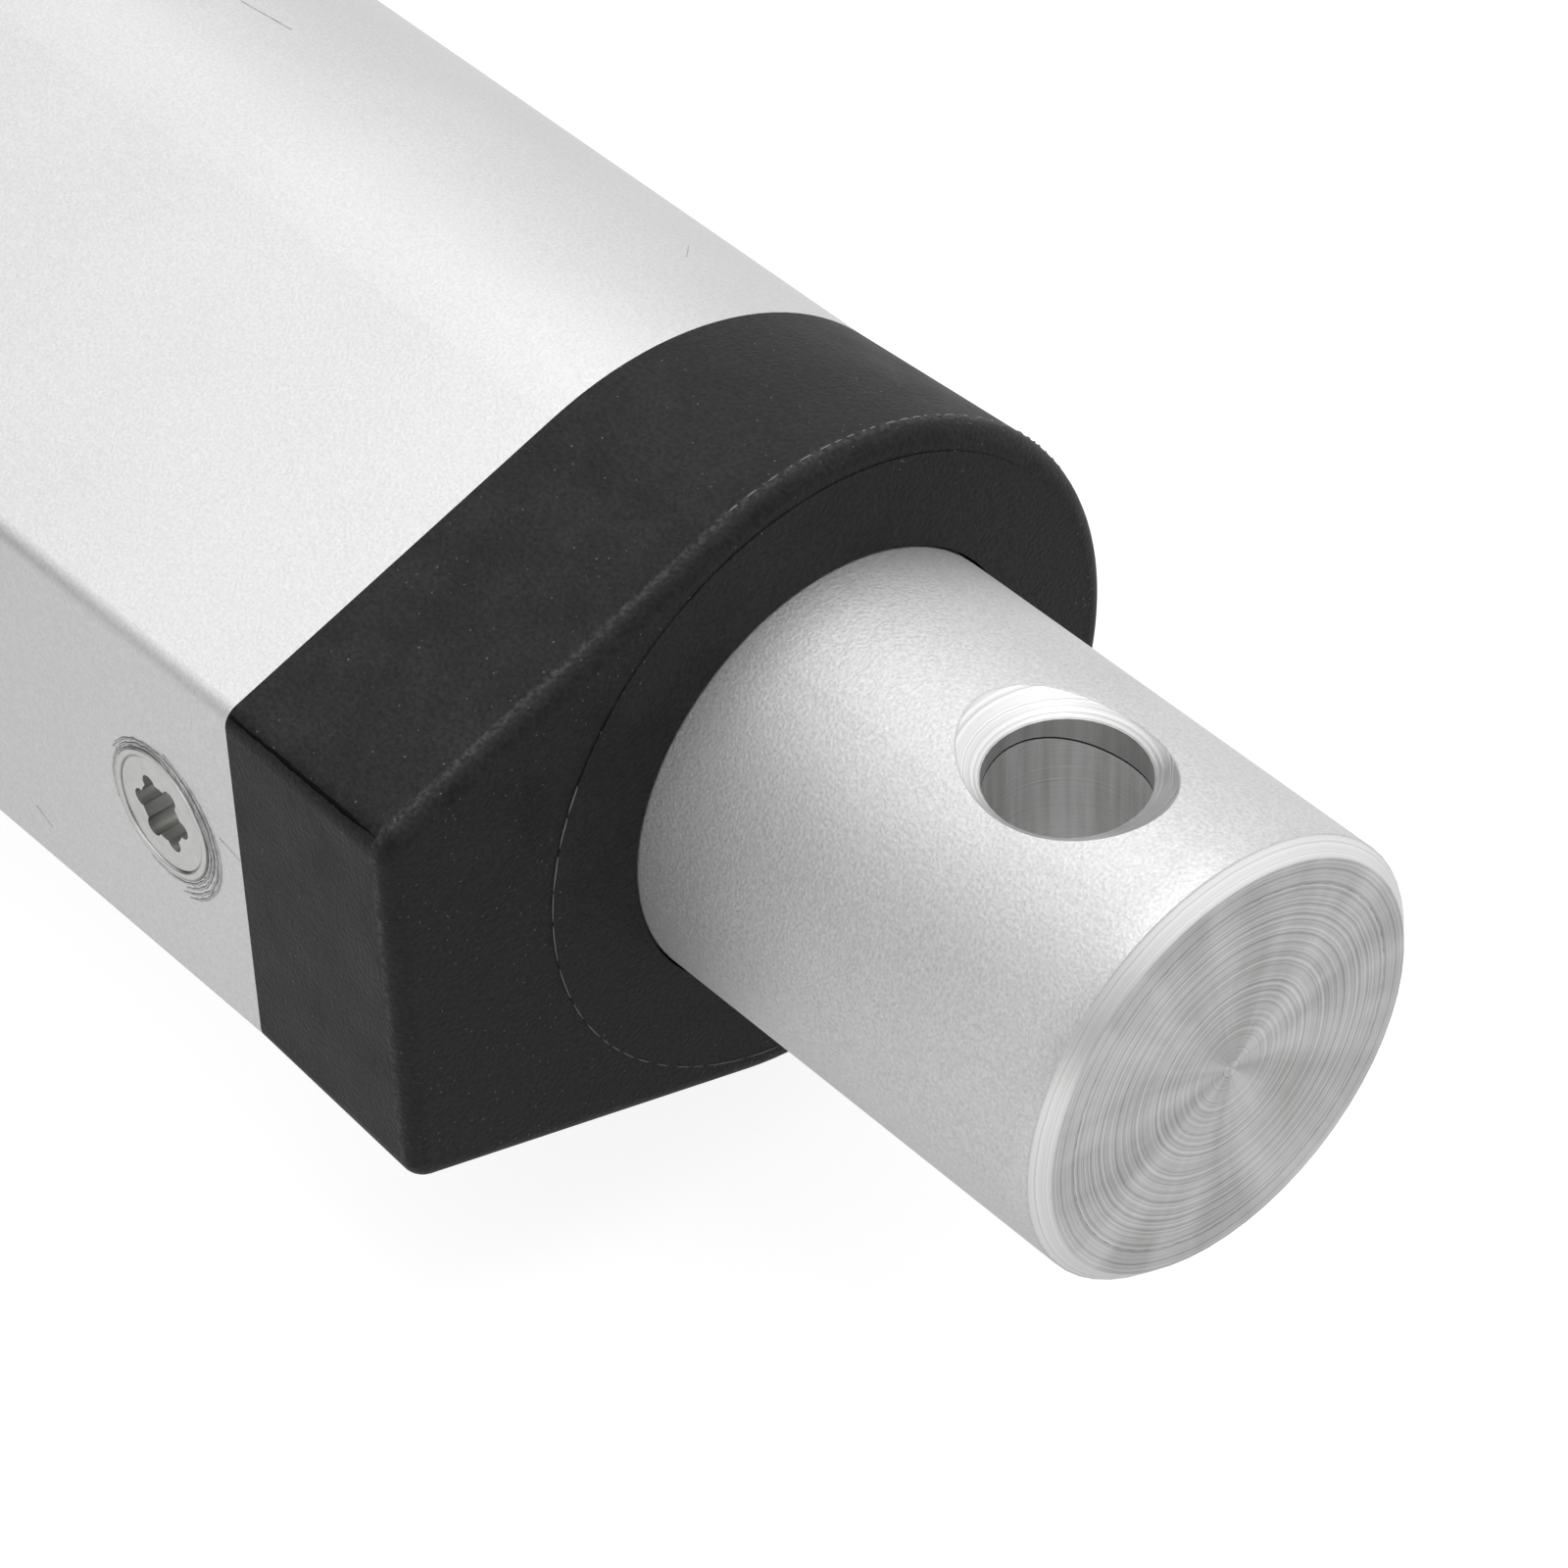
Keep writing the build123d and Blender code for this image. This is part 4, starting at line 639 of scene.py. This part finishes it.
def tube_scratches(shape):
    """Short scratches from handling: the smeared metal beside each one, a hair above the tube."""
    steps = 5
    # On the flat side a scratch goes from one place along and up to another, in millimetres. On
    # the round side it goes from one place along and round to another, in millimetres and degrees.
    on_flat = (((178.9, 1.45), (180.2, 1.1)), ((165.2, -6.1), (166.3, -6.6)),
               ((148.0, 4.2), (151.5, 3.9)), ((122.0, -3.0), (122.9, -2.2)))
    on_arc = (((174.3, 29.5), (175.3, 25.5)), ((150.0, 12.0), (153.0, 13.5)),
              ((96.0, 48.0), (97.0, 44.0)), ((132.0, 130.0), (136.0, 133.0)))
    for scratches, on_round_side in ((on_flat, False), (on_arc, True)):
        for start, end in scratches:
            sections = []
            for i in range(steps):
                x, across = (a + (b - a) * i / (steps - 1) for a, b in zip(start, end))
                half_width = 0.035 * math.sin(math.pi * (i + 0.5) / steps)
                section = []
                for side, up in ridge_profile(half_width, 0.02, foot=0.005):
                    if on_round_side:
                        turn = math.radians(across) + side / TUBE_RADIUS
                        radius = TUBE_RADIUS + up
                        section.append((x, radius * math.sin(turn), radius * math.cos(turn)))
                    else:
                        section.append((x, -TUBE_FLAT - up, across + side))
                sections.append(section)
            skin(shape, sections, closed=False)


def cap_corner_painted_shade(shape):
    """The dark line along each lower corner of the cap: painted shade, standing in for the dark
    that the corner's rounding reflects.
    """
    draw = random.Random(8)
    steps, taper_steps = 40, 8
    # The line's middle and half its spread, in degrees round the corner's own centre
    crease_angle, crease_spread = 138.0, 6.5
    search_radius, crest = 1.8, 0.008
    start = TUBE_END + 0.1
    length = CAP_LENGTH - CAP_FRONT_RADIUS - 0.2
    for side in (-1, 1):
        sections = []
        for i in range(steps + 1):
            corner = Vector((start + length * i / steps, CAP_CORNER_RADIUS - TUBE_FLAT,
                             side * CAP_CORNER_Z))
            taper = min(1.0, 0.15 + (steps - i) / taper_steps)
            left, right = (taper * crease_spread * draw.uniform(0.75, 1.05) for _ in range(2))
            section = []
            for turn, up in ((-left, 0.0), (right, 0.0), (0, crest)):
                angle = math.radians(crease_angle + turn)
                outward = Vector((0, math.cos(angle), side * math.sin(angle)))
                outside = corner + outward * search_radius
                _, on_skin, skin_normal, _ = (
                    nodes["front_cap"].closest_point_on_mesh(outside * MM))
                section.append(on_skin / MM + skin_normal * up)
            sections.append(section)
        skin(shape, sections, closed=False)


def screw_head_rims(shape):
    """The rolled rim of each tube screw's head, which catches the light."""
    steps = 48
    # The rim's section, as radius and height over the tube's flat side
    rim = ((2.6, 0.0), (2.78, 0.1), (2.95, 0.1), (3.04, 0.0))
    for centre in (TUBE_END - SCREW_SETBACK, TUBE_START + SCREW_SETBACK):
        sections = []
        for i in range(steps):
            turn = 2 * math.pi * i / steps
            sections.append([
                (centre + radius * math.cos(turn), -TUBE_FLAT - up, radius * math.sin(turn))
                for radius, up in rim])
        skin(shape, sections, closed=True)


def grommet_ribs(shape):
    """Three rounded ribs round the cable grommet's nose, which let it bend evenly."""
    steps, section_steps = 40, 8
    half_width, rise = 0.5, 0.45
    for from_start, nose_radius in ((1.4, 5.35), (3.3, 4.85), (5.2, 4.35)):
        sections = []
        for i in range(steps):
            turn = 2 * math.pi * i / steps
            section = []
            for k in range(section_steps):
                section_turn = 2 * math.pi * k / section_steps
                radius = nose_radius + rise * math.sin(section_turn)
                section.append((
                    GROMMET_START + from_start + half_width * math.cos(section_turn),
                    MOTOR_Y + radius * math.cos(turn), radius * math.sin(turn)))
            sections.append(section)
        skin(shape, sections, closed=True)


def pin_marks(shape, face_x, outward, mark_radius, ring_radius, angles):
    """The faint round edges of the mould's ejector pins, in a ring round the motor's axis."""
    steps = 32
    # The edge's section, as distance out from the mark's radius and height over the face
    edge = ((-0.12, -0.02), (0.12, -0.02), (0.04, 0.06), (-0.04, 0.06))
    for angle in map(math.radians, angles):
        y = MOTOR_Y + ring_radius * math.cos(angle)
        z = ring_radius * math.sin(angle)
        sections = []
        for i in range(steps):
            turn = 2 * math.pi * i / steps
            sections.append([
                (face_x + outward * up, y + (mark_radius + out) * math.cos(turn),
                 z + (mark_radius + out) * math.sin(turn))
                for out, up in edge])
        skin(shape, sections, closed=True)


def end_cap_pin_marks(shape):
    """Ejector pin marks on the motor's end cap, three round the cable inlet."""
    pin_marks(shape, GROMMET_START, outward=1, mark_radius=1.5, ring_radius=12.5,
              angles=(90, 210, 330))


def cover_pin_marks(shape):
    """Ejector pin marks on the cover's raised round field over the motor."""
    pin_marks(shape, FIELD_FACE, outward=-1, mark_radius=1.75, ring_radius=8.5,
              angles=(45, 135, 225, 315))


def dress(name, mesh_maker, slot, body, finish=None):
    """A detail piece from mesh code, in the finish of its slot or another one given, worn or with
    painted light, riding on a body.
    """
    shape = bmesh.new()
    mesh_maker(shape)
    bmesh.ops.remove_doubles(shape, verts=shape.verts, dist=1e-7)
    bmesh.ops.recalc_face_normals(shape, faces=shape.faces)
    mesh = bpy.data.meshes.new(name)
    shape.to_mesh(mesh)
    shape.free()
    mesh.materials.append(finish or finishes[slot])
    for face in mesh.polygons:
        face.use_smooth = True
    piece = bpy.data.objects.new(name, mesh)
    bpy.context.scene.collection.objects.link(piece)
    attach(piece, body)


# Pale flash, and a painted highlight along the ring's lit lower side
dress("cap_ring_flash_and_highlight", cap_ring_flash_and_highlight, "cap_plastic", "housing", flash_and_highlight_nylon)
dress("cap_edge_flash", cap_edge_flash, "cap_plastic", "housing", flash_and_highlight_nylon)
dress("screw_burr", screw_burr, "anodised_tube", "housing", smeared_aluminium)
dress("screw_head_rims", screw_head_rims, "screw_steel", "housing")
dress("tube_scratches", tube_scratches, "anodised_tube", "housing", smeared_aluminium)
# Painted shade along the cap's lower corners
dress("cap_corner_painted_shade", cap_corner_painted_shade, "cap_plastic", "housing", painted_shade_crease)
dress("grommet_ribs", grommet_ribs, "grommet_rubber", "housing")
dress("end_cap_pin_marks", end_cap_pin_marks, "motor_cap_plastic", "housing")
dress("cover_pin_marks", cover_pin_marks, "painted_casting", "housing")

# Floor: a plain pale sheet that the gearbox lies on. The camera sees most of its white as a glow,
# so the background stays white, and the rest is lit and keeps the soft shadow. Metal and glass see
# the glow too, but less of it close under the rod: a painted shade, a weaker glow in a patch under
# the rod, standing in for the rod's shade on the sheet.
FLOOR_MIDDLE = 100.0
FLOOR_HALF_SIZE = 3000.0
FLOOR_GAP = 0.1
UNDER_ROD = (175.0, 25.0, 0.0)
SHADE_START, SHADE_END = 50.0, 95.0
shape = bmesh.new()
bmesh.ops.create_grid(shape, x_segments=1, y_segments=1, size=FLOOR_HALF_SIZE * MM)
floor_mesh = bpy.data.meshes.new("floor")
shape.to_mesh(floor_mesh)
shape.free()
floor = bpy.data.objects.new("floor", floor_mesh)
floor.location = (FLOOR_MIDDLE * MM, 0.0, cad_box[0].z - FLOOR_GAP * MM)
bpy.context.scene.collection.objects.link(floor)

paper = bpy.data.materials.new("white_paper_sweep")
paper.use_nodes = True
tree = paper.node_tree
tree.nodes.clear()
lit = add(tree, "ShaderNodeBsdfDiffuse", {"Color": linear("#9a9a9a")})
path = add(tree, "ShaderNodeLightPath")
mirrored = add(tree, "ShaderNodeMath", {
    0: path.outputs["Is Glossy Ray"], 1: path.outputs["Is Transmission Ray"]},
    operation="MAXIMUM")
ground = add(tree, "ShaderNodeTexCoord").outputs["Object"]
from_rod = add(tree, "ShaderNodeVectorMath", {0: ground, 1: Vector(UNDER_ROD) * MM},
               operation="DISTANCE")
# Painted shade: metal and glass see the glow fall to half in a patch under the rod
painted_shade_under_rod = add(tree, "ShaderNodeMapRange", {
    "Value": from_rod.outputs["Value"], "From Min": SHADE_START * MM,
    "From Max": SHADE_END * MM, "To Min": 0.25, "To Max": 0.5}, interpolation_type="SMOOTHSTEP")
mirrored = add(tree, "ShaderNodeMath", {0: mirrored, 1: painted_shade_under_rod}, operation="MULTIPLY")
level = add(tree, "ShaderNodeMix", {
    SHARE: path.outputs["Is Camera Ray"], NUMBER_A: mirrored, NUMBER_B: 0.83},
    data_type="FLOAT")
glow = add(tree, "ShaderNodeEmission", {"Color": (1, 1, 1, 1), "Strength": level})
both = add(tree, "ShaderNodeAddShader", {0: lit, 1: glow})
add(tree, "ShaderNodeOutputMaterial", {"Surface": both})
floor_mesh.materials.append(paper)

# World: white to the camera, and a studio to the part, bright above and dimmer near the horizon
world = bpy.data.worlds.new("studio")
bpy.context.scene.world = world
world.use_nodes = True
tree = world.node_tree
tree.nodes.clear()
BRIGHT_SIDE = (-0.1, 0.5, 1.0)
toward = add(tree, "ShaderNodeTexCoord").outputs["Generated"]
lean = add(tree, "ShaderNodeVectorMath", {0: toward, 1: BRIGHT_SIDE}, operation="DOT_PRODUCT")
sky = add(tree, "ShaderNodeMapRange", {
    "Value": lean.outputs["Value"], "From Min": -0.2, "From Max": 0.75,
    "To Min": 0.38, "To Max": 0.95}, interpolation_type="SMOOTHSTEP")
path = add(tree, "ShaderNodeLightPath")
strength = add(tree, "ShaderNodeMix", {
    SHARE: path.outputs["Is Camera Ray"], NUMBER_A: sky, NUMBER_B: 1.0}, data_type="FLOAT")
background = add(tree, "ShaderNodeBackground", {"Color": (1, 1, 1, 1), "Strength": strength})
add(tree, "ShaderNodeOutputWorld", {"Surface": background})


def softbox(name, place, aim, width, height, watts):
    """A soft rectangular lamp at a place in millimetres, turned to another."""
    lamp = bpy.data.lights.new(name, "AREA")
    lamp.shape = "RECTANGLE"
    lamp.size = width * MM
    lamp.size_y = height * MM
    lamp.energy = watts
    stand = bpy.data.objects.new(name, lamp)
    stand.location = Vector(place) * MM
    stand.rotation_euler = (Vector(aim) - Vector(place)).to_track_quat("-Z", "Y").to_euler()
    stand.visible_camera = False
    bpy.context.scene.collection.objects.link(stand)


softbox("top_softbox", place=(150, 60, 520), aim=(160, -10, 0), width=500, height=420, watts=1.12)
softbox("left_softbox", place=(260, -520, 160), aim=(180, -10, 0), width=300, height=260,
        watts=0.35)

# Camera: solved from the edges of the rod, the cap and the tube in the photograph. It looks at
# the middle of the cap's face, shifted right and up across the view, in millimetres and degrees.
CAMERA_AZIMUTH = 39.416
CAMERA_ELEVATION = 42.657
CAMERA_ROLL = -2.301
CAMERA_RIGHT = -1.696
CAMERA_UP = -0.806
CAMERA_DISTANCE = 258.630
FOCAL_LENGTH = 147.551
SENSOR_WIDTH = 36
azimuth, elevation, roll = (
    math.radians(angle) for angle in (CAMERA_AZIMUTH, CAMERA_ELEVATION, CAMERA_ROLL))
back = Vector((math.cos(elevation) * math.cos(azimuth),
               -math.cos(elevation) * math.sin(azimuth), math.sin(elevation)))
level_right = Vector((0, 0, 1)).cross(back).normalized()
level_up = back.cross(level_right)
right = level_right * math.cos(roll) + level_up * math.sin(roll)
up = level_up * math.cos(roll) - level_right * math.sin(roll)
aim = Vector((CAP_FACE, 0, 0)) + right * CAMERA_RIGHT + up * CAMERA_UP
camera_data = bpy.data.cameras.new("camera")
camera_data.sensor_width = SENSOR_WIDTH
camera_data.lens = FOCAL_LENGTH
camera_data.clip_start = 10 * MM
camera = bpy.data.objects.new("camera", camera_data)
camera.matrix_world = Matrix((right, up, back)).transposed().to_4x4()
camera.location = (aim + back * CAMERA_DISTANCE) * MM
bpy.context.scene.collection.objects.link(camera)
bpy.context.scene.camera = camera
bpy.context.scene.view_settings.view_transform = "Standard"
